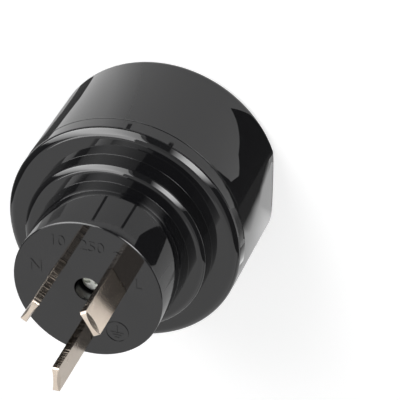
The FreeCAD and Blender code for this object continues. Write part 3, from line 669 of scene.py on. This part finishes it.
class ADAPTER_OT_face_marks(bpy.types.Operator):
    """Raised marks on the plug face: L, N, the earth sign and plain numbers"""

    bl_idname = "adapter.face_marks"
    bl_label = "Face marks"

    def execute(self, context):
        s = in_mm(context)
        bm = bmesh.new()
        low, high = -0.03, 0.14
        marks = [("N", -12.0, 3.8, 4.2), ("L", 11.8, 4.0, 3.8), ("10", -6.9, 11.5, 3.9),
                 ("250", 1.2, 11.5, 3.9), ("~", 7.3, 11.4, 4.4)]
        for text, x, y, size in marks:
            curve = bpy.data.curves.new("mark", "FONT")
            curve.body = text
            curve.size = size * MM
            curve.extrude = (high - low) / 2 * MM
            curve.align_x = "CENTER"
            curve.align_y = "CENTER"
            letters = taken(loose(curve, "mark"))
            letters.transform(Matrix.Translation((x * MM, y * MM, (s.face_z + (high + low) / 2) * MM)))
            merge(bm, letters)
        # Earth sign: a ring round an upright and three bars
        sign = Shape()
        centre = (6.8, -9.9)
        ring = [(2.75, low), (2.75, high), (2.45, high), (2.45, low), (2.75, low)]
        sign.turned(ring, lambda r, z: circle(r, s.face_z + z, *centre, 64))
        for x, y, half_x, half_y in ((0, 0.75, 0.13, 0.95), (0, -0.2, 1.5, 0.13), (0, -0.85, 1.0, 0.13),
                                     (0, -1.5, 0.5, 0.13)):
            bar = [(centre[0] + x + i * half_x, centre[1] + y + j * half_y)
                   for i, j in ((1, 1), (-1, 1), (-1, -1), (1, -1))]
            ends = [sign.loop([(a, b, s.face_z + z) for a, b in bar]) for z in (low, high)]
            sign.solid(ends)
        sign.bm.transform(Matrix.Scale(MM, 4))
        merge(bm, sign.bm)
        finish(bm, "face_marks", polished_black_abs(context.scene.adapter_colours), "housing")
        return {"FINISHED"}


def blade_tree():
    """Geometry nodes for one blade: a stamped strip with softened edges, a bowed tip with rounded
    corners and a lens-shaped facet on each broad side, and an ear each side under the face."""
    tree = bpy.data.node_groups.new("stamped_blade", "GeometryNodeTree")
    bowed_part = 6 * MM
    sizes = {"Tip": 17.1, "Face": 54.7, "Foot": 39.2, "Width": 6.35, "Thickness": 1.6,
             "Facet length": 1.35, "Facet depth": 0.36, "Bow": 0.3, "Edge": 0.08, "Corner": 0.5,
             "Ear": 1.1, "Ear height": 2.0, "Ear top": 51.7, "Distance": 7.92}
    for name, size in sizes.items():
        socket = tree.interface.new_socket(name=name, in_out="INPUT", socket_type="NodeSocketFloat")
        socket.default_value = size * MM
    for name, way, kind in (("Turn", "INPUT", "Float"), ("Plating", "INPUT", "Material"),
                            ("Geometry", "OUTPUT", "Geometry")):
        tree.interface.new_socket(name=name, in_out=way, socket_type="NodeSocket" + kind)
    given = node(tree, "NodeGroupInput").outputs

    def facet(across):
        """The place across the blade, -1 to 1, squared, and the facet's length there."""
        at_edge = 0.12
        squared = node(tree, "ShaderNodeMath", {0: across, 1: across}, operation="MULTIPLY")
        share = node(tree, "ShaderNodeMapRange", {"Value": squared, "To Min": 1.0, "To Max": at_edge})
        return squared, node(tree, "ShaderNodeMath", {
            0: given["Facet length"], 1: share}, operation="MULTIPLY")

    top = node(tree, "ShaderNodeMath", {0: given["Face"], 1: given["Tip"]}, operation="ADD")
    tall = node(tree, "ShaderNodeMath", {0: top, 1: given["Foot"]}, operation="SUBTRACT")
    size = node(tree, "ShaderNodeCombineXYZ", {"X": given["Thickness"], "Y": given["Width"], "Z": tall})
    half = node(tree, "ShaderNodeVectorMath", {0: size, "Scale": 0.5}, operation="SCALE")
    halves = node(tree, "ShaderNodeSeparateXYZ", {"Vector": half}).outputs
    rows = 60
    facet_row = 1 - 2 * 6 / rows  # from 1 at the tip to -1 at the foot
    strip = node(tree, "GeometryNodeMeshCube", {
        "Size": size, "Vertices X": 9, "Vertices Y": 25, "Vertices Z": rows + 1})

    # Columns crowd towards the edges, where the rounding needs them
    spot = node(tree, "GeometryNodeInputPosition")
    here = node(tree, "ShaderNodeVectorMath", {0: spot, 1: half}, operation="DIVIDE")
    turn = node(tree, "ShaderNodeVectorMath", {0: here, "Scale": math.pi / 2}, operation="SCALE")
    wave = node(tree, "ShaderNodeVectorMath", {0: turn}, operation="SINE")
    crowd = node(tree, "ShaderNodeSeparateXYZ", {"Vector": wave}).outputs
    x = node(tree, "ShaderNodeMath", {0: crowd["X"], 1: halves["X"]}, operation="MULTIPLY")
    y = node(tree, "ShaderNodeMath", {0: crowd["Y"], 1: halves["Y"]}, operation="MULTIPLY")

    # The facet is longest in the middle of the blade; the seventh row follows its edge
    squared, reach = facet(crowd["Y"])
    row = node(tree, "ShaderNodeSeparateXYZ", {"Vector": here}).outputs["Z"]
    near = node(tree, "ShaderNodeMapRange", {
        "Value": row, "From Min": 1.0, "From Max": facet_row, "To Min": 0.0, "To Max": reach})
    far = node(tree, "ShaderNodeMapRange", {"Value": row, "From Min": facet_row, "From Max": -1.0})
    grow = node(tree, "ShaderNodeMath", {0: far, 1: far}, operation="MULTIPLY")
    rest = node(tree, "ShaderNodeMath", {0: tall, 1: reach}, operation="SUBTRACT")
    down = node(tree, "ShaderNodeMath", {0: grow, 1: rest, 2: near}, operation="MULTIPLY_ADD")
    z = node(tree, "ShaderNodeMath", {0: halves["Z"], 1: down}, operation="SUBTRACT")
    place = node(tree, "ShaderNodeCombineXYZ", {"X": x, "Y": y, "Z": z})
    spread = node(tree, "GeometryNodeSetPosition", {"Geometry": strip, "Position": place})

    # Softened edges: what lies outside the rounded box is pulled onto it
    margin = node(tree, "ShaderNodeCombineXYZ", {
        "X": given["Edge"], "Y": given["Edge"], "Z": given["Edge"]})
    core = node(tree, "ShaderNodeVectorMath", {0: half, 1: margin}, operation="SUBTRACT")
    minus = node(tree, "ShaderNodeVectorMath", {0: core, "Scale": -1.0}, operation="SCALE")
    most = node(tree, "ShaderNodeVectorMath", {0: spot, 1: core}, operation="MINIMUM")
    kept = node(tree, "ShaderNodeVectorMath", {0: most, 1: minus}, operation="MAXIMUM")
    off = node(tree, "ShaderNodeVectorMath", {0: spot, 1: kept}, operation="SUBTRACT")
    gone = node(tree, "ShaderNodeVectorMath", {0: off}, operation="LENGTH")
    ratio = node(tree, "ShaderNodeMath", {
        0: given["Edge"], 1: gone.outputs["Value"]}, operation="DIVIDE")
    pull = node(tree, "ShaderNodeMath", {0: ratio, 1: 1.0}, operation="MINIMUM")
    back = node(tree, "ShaderNodeVectorMath", {0: off, "Scale": pull}, operation="SCALE")
    eased = node(tree, "ShaderNodeVectorMath", {0: kept, 1: back}, operation="ADD")
    soft = node(tree, "GeometryNodeSetPosition", {"Geometry": spread, "Position": eased})

    # Tip: the corners round off in the broad side's plane, and the facets slope in
    spots = node(tree, "ShaderNodeSeparateXYZ", {"Vector": spot}).outputs
    from_tip = node(tree, "ShaderNodeMath", {0: halves["Z"], 1: spots["Z"]}, operation="SUBTRACT")
    rise = node(tree, "ShaderNodeMapRange", {
        "Value": from_tip, "From Min": 0.0, "From Max": given["Corner"], "To Min": 1.0, "To Max": 0.0})
    turn = node(tree, "ShaderNodeMath", {0: rise}, operation="ARCSINE")
    bow = node(tree, "ShaderNodeMath", {0: turn}, operation="COSINE")
    inset = node(tree, "ShaderNodeMath", {0: 1.0, 1: bow}, operation="SUBTRACT")
    tuck = node(tree, "ShaderNodeMath", {0: inset, 1: given["Corner"]}, operation="MULTIPLY")
    side = node(tree, "ShaderNodeMath", {0: spots["Y"], 1: halves["Y"]}, operation="DIVIDE")
    squared, reach = facet(side)
    under = node(tree, "ShaderNodeMath", {0: reach, 1: from_tip}, operation="SUBTRACT")
    above = node(tree, "ShaderNodeMath", {0: under, 1: 0.0}, operation="MAXIMUM")
    slope = node(tree, "ShaderNodeMath", {
        0: given["Facet depth"], 1: given["Facet length"]}, operation="DIVIDE")
    shave = node(tree, "ShaderNodeMath", {0: above, 1: slope}, operation="MULTIPLY")
    less = node(tree, "ShaderNodeCombineXYZ", {"X": shave, "Y": tuck})
    part = node(tree, "ShaderNodeVectorMath", {0: less, 1: half}, operation="DIVIDE")
    scale = node(tree, "ShaderNodeVectorMath", {0: (1, 1, 1), 1: part}, operation="SUBTRACT")
    shaped = node(tree, "ShaderNodeVectorMath", {0: spot, 1: scale}, operation="MULTIPLY")
    fade = node(tree, "ShaderNodeMapRange", {
        "Value": from_tip, "From Max": bowed_part, "To Min": given["Bow"], "To Max": 0.0})
    drop = node(tree, "ShaderNodeMath", {0: fade, 1: squared}, operation="MULTIPLY")
    lower = node(tree, "ShaderNodeCombineXYZ", {"Z": drop})
    shaped = node(tree, "ShaderNodeVectorMath", {0: shaped, 1: lower}, operation="SUBTRACT")
    tipped = node(tree, "GeometryNodeSetPosition", {"Geometry": soft, "Position": shaped})

    # The narrow sides are marked as sheared for the material
    facing = node(tree, "ShaderNodeSeparateXYZ", {
        "Vector": node(tree, "GeometryNodeInputNormal")}).outputs["Y"]
    flat = node(tree, "ShaderNodeMath", {0: facing}, operation="ABSOLUTE")
    edge = node(tree, "ShaderNodeMath", {0: flat, 1: 0.8}, operation="GREATER_THAN")
    marked = node(tree, "GeometryNodeStoreNamedAttribute", {
        "Geometry": tipped, "Name": "sheared", "Value": edge}, data_type="FLOAT", domain="FACE")

    middle = node(tree, "ShaderNodeMath", {0: given["Foot"], 1: halves["Z"]}, operation="ADD")
    there = node(tree, "ShaderNodeCombineXYZ", {"X": given["Distance"], "Z": middle})
    blade = node(tree, "GeometryNodeTransform", {"Geometry": marked, "Translation": there})

    # Ears under the face
    ear = node(tree, "ShaderNodeMath", {
        0: given["Ear"], 1: 2.0, 2: given["Width"]}, operation="MULTIPLY_ADD")
    under = node(tree, "ShaderNodeMath", {0: given["Thickness"], 1: 0.01 * MM}, operation="SUBTRACT")
    block = node(tree, "ShaderNodeCombineXYZ", {"X": under, "Y": ear, "Z": given["Ear height"]})
    ears = node(tree, "GeometryNodeMeshCube", {"Size": block})
    level = node(tree, "ShaderNodeMath", {
        0: given["Ear height"], 1: -0.5, 2: given["Ear top"]}, operation="MULTIPLY_ADD")
    there = node(tree, "ShaderNodeCombineXYZ", {"X": given["Distance"], "Z": level})
    placed = node(tree, "GeometryNodeTransform", {"Geometry": ears, "Translation": there})
    both = node(tree, "GeometryNodeJoinGeometry", {"Geometry": placed})
    tree.links.new(blade.outputs["Geometry"], both.inputs["Geometry"])
    about = node(tree, "ShaderNodeCombineXYZ", {"Z": given["Turn"]})
    turned = node(tree, "GeometryNodeTransform", {"Geometry": both, "Rotation": about})
    real = node(tree, "GeometryNodeRealizeInstances", {"Geometry": turned})
    plated = node(tree, "GeometryNodeSetMaterial", {"Geometry": real, "Material": given["Plating"]})
    node(tree, "NodeGroupOutput", {"Geometry": plated})
    return tree


class ADAPTER_OT_blades(bpy.types.Operator):
    """Live, neutral and earth blades from one stamped-blade tree"""

    bl_idname = "adapter.blades"
    bl_label = "Blades"

    def execute(self, context):
        group = context.scene.adapter_sizes
        tree = blade_tree()
        plating = nickel_plated_brass(context.scene.adapter_colours)
        common = {"Face": group.face_z, "Width": group.blade_w, "Thickness": group.blade_t,
                  "Ear top": group.ceiling_z, "Plating": plating}
        blades = {
            "live": {"Tip": group.blade_len, "Distance": group.blade_r, "Turn": math.radians(30)},
            "neutral": {"Tip": group.blade_len, "Distance": group.blade_r, "Turn": math.radians(150)},
            "earth": {"Tip": group.earth_len, "Distance": 0.0, "Turn": 0.0}}
        for name, own in blades.items():
            holder = loose(bpy.data.meshes.new("strip"), "strip")
            modifier = holder.modifiers.new("blade", "NODES")
            modifier.node_group = tree
            values = {**common, **own, "Foot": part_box(name + "_blade")[0].z}
            for item in tree.interface.items_tree:
                if item.in_out == "INPUT" and item.name in values:
                    modifier[item.identifier] = values[item.name]
            bm = taken(holder)
            if name == "earth":
                bm.transform(Matrix.Translation((0, -group.earth_r, 0)))
            finish(bm, "blade_" + name, plating, "housing", [name + "_blade"], 20)
        return {"FINISHED"}


class ADAPTER_OT_screw(bpy.types.Operator):
    """Assembly screw: domed head with a pocket each side, and a threaded shank"""

    bl_idname = "adapter.screw"
    bl_label = "Assembly screw"

    def execute(self, context):
        s = in_mm(context)
        seat, top = s.screw_seat_z, s.screw_seat_z + s.screw_head_h
        head = Shape()
        ring = lambda r, z: circle(r, z, steps=64)
        profile = rounded([(0, seat, 0), (s.screw_head_r, seat, 0.1), (s.screw_head_r, top, 0.7),
                           (0, top, 0)], steps=6)
        head.turned(profile, ring)
        bmesh.ops.remove_doubles(head.bm, verts=head.bm.verts, dist=1e-5)
        notches = Shape()
        near, far, half, depth = 0.5, 2.2, 0.65, 0.9
        for hand in (1, -1):
            plan = [(hand * x, y) for x, y in ((near, half), (far, half), (far, -half), (near, -half))]
            ends = [notches.loop([(x, y, z) for x, y in plan]) for z in (top - depth, top + 1)]
            notches.solid(ends)
        screw = cut(head, notches, 0.07)
        # Shank with a rolled thread of 1.2 mm pitch, down to its point
        low, tip, per = 25.5, 24.3, 24
        pitch, root_r, depth, step = 1.2, 1.22, 0.28, 0.1
        loops = []
        for i in range(int((seat - low) / step) + 1):
            z = low + step * i
            depths = [root_r + depth * (2 * ((z / pitch - k / per) % 1) - 1) ** 2 for k in range(per)]
            loops.append(screw.loop([(r * math.cos(2 * math.pi * k / per),
                                      r * math.sin(2 * math.pi * k / per), z)
                                     for k, r in enumerate(depths)]))
        point = screw.loop(circle(0.3, tip, steps=per))
        screw.solid([point] + loops)
        screw.piece("screw_assembly", zinc_plated_steel(context.scene.adapter_colours), "housing",
                    "zinc_steel", ["assembly_screw"])
        return {"FINISHED"}


class ADAPTER_OT_clips(bpy.types.Operator):
    """Earth clips: sprung leaves with a smooth nose, each on its own body"""

    bl_idname = "adapter.clips"
    bl_label = "Earth clips"

    def execute(self, context):
        s = in_mm(context)
        line = rounded([(23.575, 21.6, 0), (23.575, 17.2, 1.2), (14.3, 7.4, 1.2), (21.0, 4.0, 0)],
                       steps=12, hold=0.3)
        section = rounded([(s.clip_w / 2, s.clip_t / 2, 0.1), (-s.clip_w / 2, s.clip_t / 2, 0.1),
                           (-s.clip_w / 2, -s.clip_t / 2, 0.1), (s.clip_w / 2, -s.clip_t / 2, 0.1)],
                          closed=True, steps=3, hold=0.08)
        for name, hand in (("upper", 1), ("lower", -1)):
            leaf = Shape()
            loops = []
            for i, (y, z) in enumerate(line):
                before, after = line[max(i - 1, 0)], line[min(i + 1, len(line) - 1)]
                run = Vector((after[0] - before[0], after[1] - before[1])).normalized()
                loops.append(leaf.loop([(across, hand * (y + run.y * out), z - run.x * out)
                                        for across, out in section]))
            leaf.solid(loops)
            hole = Shape()
            rivet_r, rivet_z = 1.05, 20.0
            ends = [hole.loop([(x, hand * y, z + rivet_z) for x, z, _ in circle(rivet_r, 0, steps=32)])
                    for y in (22, 25)]
            hole.solid(ends)
            cut(leaf, hole, 0).piece("clip_leaf_" + name,
                                     plated_spring_bronze(context.scene.adapter_colours),
                                     "clip_" + name, "clip_metal", ["earth_clip_" + name])
        return {"FINISHED"}


class ADAPTER_OT_inner_parts(bpy.types.Operator):
    """Finishes for the parts that keep their CAD shape"""

    bl_idname = "adapter.inner_parts"
    bl_label = "Inner parts"

    def execute(self, context):
        colours = context.scene.adapter_colours
        finishes = {
            moulded_red_abs: ["shutter_rotor"],
            plain_black_nylon: ["shutter_cover", "contact_carrier", "blade_holder"],
            rolled_brass: ["live_contact", "neutral_contact", "contact_rivets", "earth_bracket",
                           "earth_link", "clip_rivets"],
            drawn_spring_steel: ["shutter_spring", "live_jaw_spring", "neutral_jaw_spring"],
            zinc_plated_steel: ["bracket_screws"]}
        for make, names in finishes.items():
            material = make(colours)
            for name in names:
                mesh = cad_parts[name].data
                mesh.materials.clear()
                mesh.materials.append(material)
        return {"FINISHED"}


# Painted reflections: glowing sheets that only glossy rays meet. They paint bright highlights and dark
# reflections into the gloss besides the white surroundings, and light nothing. Each has its shape in
# millimetres, either an outline (x, y) at a height or a profile (distance from the middle, height) swept
# between two azimuths in degrees, and its brightness at each corner or at steps of the sweep.
SWEEP = 24
REFLECTED = [
    ("painted_highlight_left", [3.9, 5.5, 7.7, 8.8, 8.8, 6, 3], (91, 164, [(104, 1), (420, 1), (520, 90), (560, 500),
     (430, 699)])),
    ("painted_highlight_top", [6], (701, [(-100, 480), (-150, -20), (-300, -60), (-420, -130), (-490, -215),
     (-530, -90), (-500, 60), (-420, 330)])),
    ("painted_highlight_right", [1, 4.8, 9, 11, 11, 9, 4.8, 1], (26, 65, [(104, 1), (420, 1), (520, 90),
     (545, 640)])),
    ("painted_highlight_back", [1.22], (186, 330, [(250, 722), (700, 721), (900, 450), (950, 60)])),
    ("painted_dark_ring", [0.2], (28, 208, [(66, 0.9), (103, 0.9)])),
    ("painted_dark_gap", [0.12], (66.5, 87, [(70, 1.2), (400, 1.2), (500, 90), (520, 600)])),
    ("painted_dark_roof", [0.6], (15, 88, [(560, 645), (420, 780), (150, 830)])),
    ("painted_dark_left", [0.12], (166, 208, [(70, 1.2), (400, 1.2), (500, 90), (520, 440)])),
    ("light_blade", [1.8], (-14, 8, [(64.6, 0.5), (83, 0.5)])),
    ("painted_dark_right", [0.12], (-30, 24, [(84, 1.2), (400, 1.2), (500, 90), (520, 400)])),
    # The sheets from here on lie just over the floor and paint its reflection darker or lighter. The
    # lighter ones also cover the object's own shadow in the gloss, and the bars paint thin dark
    # reflections.
    ("dark_right", [0.06], (0.3, [(20.2, 24.5), (34, 18), (39.3, 12.6), (42, 14.6), (41, 20.3),
     (39.3, 25.5), (37, 29.2), (37.9, 28.9), (41.8, 21.8), (44.2, 15.6), (45.5, 9), (45.9, 3.2),
     (44.9, -3.1), (42.5, -9.8), (39.4, -15.9), (35, -18), (33, -14), (31, -8.6), (29, -2.7),
     (27.2, 5.5), (24, 12)])),
    ("band_right", [0.75, 0.6, 0.27, 0.27, 0.6, 0.6, 0.3, 0.27], (0.35, [(47.5, 5), (45.9, 3.2),
     (44.9, -3.1), (42.5, -9.8), (39.4, -15.9), (42, -18), (46, -13), (48.4, -4)])),
    ("edge_right", [0.06, 0.06, 0.06, 0.06, 0.1, 0.2, 0.7, 1.1, 1.12, 1.12, 1.12, 1.12],
     (0.25, [(27, 6.3), (29, -2.7), (31, -8.6), (33, -14), (40, -20), (47, -12), (50, -32), (33, -25),
     (31, -15.5), (29, -7.2), (28, -1.5), (27, 2.4)])),
    ("light_right", [1.12, 1.12, 1.12, 1.12, 1.12, 1.12, 1.6, 2, 2, 1.8, 1.2, 1.12], (0.2, [(26.4, 5.4),
     (27, 2.4), (28, -1.5), (29, -7.2), (31, -15.5), (33, -24), (34, -30), (28, -24), (27, -13),
     (26.2, -10.5), (26.1, -8), (26, 5.4)])),
    ("light_left", [0.93, 1.27, 1.26, 1.22, 1.28], (104, 166, [(27.9, 0.15), (51, 0.15)])),
    ("dark_left", [0.1], (0.3, [(-19, 21), (-26.7, 19.4), (-36.5, 15.2), (-41, 11.5), (-42.5, 4),
     (-42.5, -4), (-36, -4), (-36, 5), (-29.7, 12), (-22, 17.2)])),
    ("grey_left", [0.5], (0.25, [(-22, 17), (-29.7, 11.8), (-36, 4.8), (-50, -10), (-50, -30),
     (-27, -25)])),
    ("grey_neck", [0.8, 0.8, 0.8, 0.8, 0.8, 0.8, 0.6, 0.42, 0.42], (-12, 185, [(51.5, 0.5),
     (64.5, 0.5)])),
    ("bar_left", [0.1], (102.8, 106.2, [(53.5, 0.6), (64, 0.6)])),
    ("bar_band", [0.15], (98.2, 101.2, [(47.5, 0.6), (53.6, 0.6)])),
    ("bar_middle", [0.1], (66.4, 69.6, [(49.5, 0.6), (64, 0.6)])),
    ("bar_right", [0.06], (0.7, [(44, 44), (46.2, 32), (48, 23), (49.5, 17), (52, 14), (62, 6), (66, 22),
     (56, 42), (50, 46)])),
    ("bar_far_left", [0.25], (151, 168, [(53.2, 0.6), (58.5, 0.6)])),
]


def painted_reflection(name, levels, shape):
    """A painted reflection: a glowing sheet that only shows in reflections and lights nothing."""
    material, tree = blank(name)
    level = node(tree, "ShaderNodeAttribute", attribute_name="level")
    glow = node(tree, "ShaderNodeEmission", {"Strength": level.outputs["Fac"]})
    node(tree, "ShaderNodeOutputMaterial", {"Surface": glow})
    bm = bmesh.new()
    glow = bm.verts.layers.float.new("level")
    if len(shape) == 3:
        start, end, profile = shape
        for r, z in profile:
            for i in range(SWEEP + 1):
                turn = math.radians(start + (end - start) * i / SWEEP)
                vert = bm.verts.new((r * MM * math.cos(turn), r * MM * math.sin(turn), z * MM))
                place = i / SWEEP * (len(levels) - 1)
                low = int(place)
                high = min(low + 1, len(levels) - 1)
                vert[glow] = levels[low] + (levels[high] - levels[low]) * (place - low)
        bm.verts.ensure_lookup_table()
        wide = SWEEP + 1
        for row in range(len(profile) - 1):
            for i in range(SWEEP):
                a, b = row * wide + i, (row + 1) * wide + i
                bm.faces.new([bm.verts[k] for k in (a, a + 1, b + 1, b)])
    else:
        height, outline = shape
        for k, (x, y) in enumerate(outline):
            bm.verts.new((x * MM, y * MM, height * MM))[glow] = levels[k % len(levels)]
        bmesh.ops.triangulate(bm, faces=[bm.faces.new(bm.verts)])
    made = loose(bm, name)
    made.data.materials.append(material)
    made.visible_camera = made.visible_diffuse = made.visible_shadow = False
    made.visible_transmission = made.visible_volume_scatter = False


class ADAPTER_OT_stage(bpy.types.Operator):
    """Pale floor, soft studio light, painted reflections and the camera"""

    bl_idname = "adapter.stage"
    bl_label = "Stage"

    def execute(self, context):
        scene = context.scene
        scene.view_settings.view_transform = "Standard"
        colours = scene.adapter_colours

        # Floor and world show as white to the camera and in reflections, and light as written
        material, tree = blank("studio_floor")
        path = node(tree, "ShaderNodeLightPath").outputs
        seen = node(tree, "ShaderNodeMath", {
            0: path["Is Camera Ray"], 1: path["Is Transmission Ray"]}, operation="ADD")
        lift = node(tree, "ShaderNodeMath", {0: seen, 1: 0.6}, operation="MULTIPLY")
        lift = node(tree, "ShaderNodeMath", {
            0: path["Is Glossy Ray"], 1: 0.35, 2: lift}, operation="MULTIPLY_ADD")
        glow = node(tree, "ShaderNodeEmission", {"Strength": lift})
        paint = node(tree, "ShaderNodeBsdfDiffuse", {"Color": colours.floor})
        both = node(tree, "ShaderNodeAddShader", {0: paint, 1: glow})
        node(tree, "ShaderNodeOutputMaterial", {"Surface": both})
        bm = bmesh.new()
        bm.faces.new([bm.verts.new((x, y, -0.00002)) for x, y in ((2, 2), (-2, 2), (-2, -2), (2, -2))])
        bmesh.ops.recalc_face_normals(bm, faces=bm.faces)
        floor = loose(bm, "floor")
        floor.data.materials.append(material)

        world = bpy.data.worlds.new("studio")
        scene.world = world
        world.use_nodes = True
        tree = world.node_tree
        tree.nodes.clear()
        path = node(tree, "ShaderNodeLightPath").outputs
        seen = node(tree, "ShaderNodeMath", {
            0: path["Is Camera Ray"], 1: path["Is Glossy Ray"]}, operation="ADD")
        seen = node(tree, "ShaderNodeMath", {
            0: seen, 1: path["Is Transmission Ray"]}, operation="ADD", use_clamp=True)
        level = node(tree, "ShaderNodeMapRange", {"Value": seen, "To Min": 0.45, "To Max": 1.0})
        sky = node(tree, "ShaderNodeBackground", {"Strength": level})
        node(tree, "ShaderNodeOutputWorld", {"Surface": sky})

        # Two soft lamps, left and right of the camera, hidden from reflections, which show the painted
        # highlights and painted dark reflections instead
        middle, distance = Vector((0, 0, 0.026)), 0.6
        for name, azimuth, elevation, wide, tall, power in (
                ("lamp_left", 122, 40, 0.34, 0.34, 1.9), ("lamp_right", 44, 36, 0.24, 0.3, 0.9)):
            lamp = bpy.data.lights.new(name, "AREA")
            lamp.shape = "RECTANGLE"
            lamp.size = wide
            lamp.size_y = tall
            lamp.energy = power
            made = bpy.data.objects.new(name, lamp)
            scene.collection.objects.link(made)
            way = Vector((math.cos(math.radians(azimuth)) * math.cos(math.radians(elevation)),
                          math.sin(math.radians(azimuth)) * math.cos(math.radians(elevation)),
                          math.sin(math.radians(elevation))))
            made.location = middle + way * distance
            made.rotation_euler = way.to_track_quat("Z", "Y").to_euler()
            made.visible_glossy = False
        for name, levels, shape in REFLECTED:
            painted_reflection(name, levels, shape)

        camera = bpy.data.cameras.new("camera")
        camera.sensor_width = 36.0
        camera.lens = 228.708
        camera.clip_start = 0.05
        camera.clip_end = 10.0
        made = bpy.data.objects.new("camera", camera)
        scene.collection.objects.link(made)
        made.location = (0.162999, 0.326, 0.477124)
        made.rotation_euler = [math.radians(a) for a in (-33.577735, 18.338244, 0.537932)]
        scene.camera = made
        return {"FINISHED"}


class ADAPTER_PT_panel(bpy.types.Panel):
    """Lists the steps that dress the adapter"""

    bl_idname = "ADAPTER_PT_panel"
    bl_label = "Travel adapter"
    bl_space_type = "VIEW_3D"
    bl_region_type = "UI"
    bl_category = "Adapter"

    def draw(self, context):
        for operator in OPERATORS:
            self.layout.operator(operator.bl_idname)
        for group in (context.scene.adapter_sizes, context.scene.adapter_colours):
            box = self.layout.box()
            for key in type(group).__annotations__:
                box.prop(group, key)


OPERATORS = (ADAPTER_OT_socket_body, ADAPTER_OT_plug_body, ADAPTER_OT_face_marks, ADAPTER_OT_blades,
             ADAPTER_OT_screw, ADAPTER_OT_clips, ADAPTER_OT_inner_parts, ADAPTER_OT_stage)
CLASSES = (AdapterSizes, AdapterColours, *OPERATORS, ADAPTER_PT_panel)


def register():
    for cls in CLASSES:
        bpy.utils.register_class(cls)
    bpy.types.Scene.adapter_sizes = PointerProperty(type=AdapterSizes)
    bpy.types.Scene.adapter_colours = PointerProperty(type=AdapterColours)


def unregister():
    del bpy.types.Scene.adapter_colours
    del bpy.types.Scene.adapter_sizes
    for cls in reversed(CLASSES):
        bpy.utils.unregister_class(cls)


def main():
    register()
    bpy.ops.adapter.socket_body()
    bpy.ops.adapter.plug_body()
    bpy.ops.adapter.face_marks()
    bpy.ops.adapter.blades()
    bpy.ops.adapter.screw()
    bpy.ops.adapter.clips()
    bpy.ops.adapter.inner_parts()
    bpy.ops.adapter.stage()


if __name__ == "__main__":
    main()
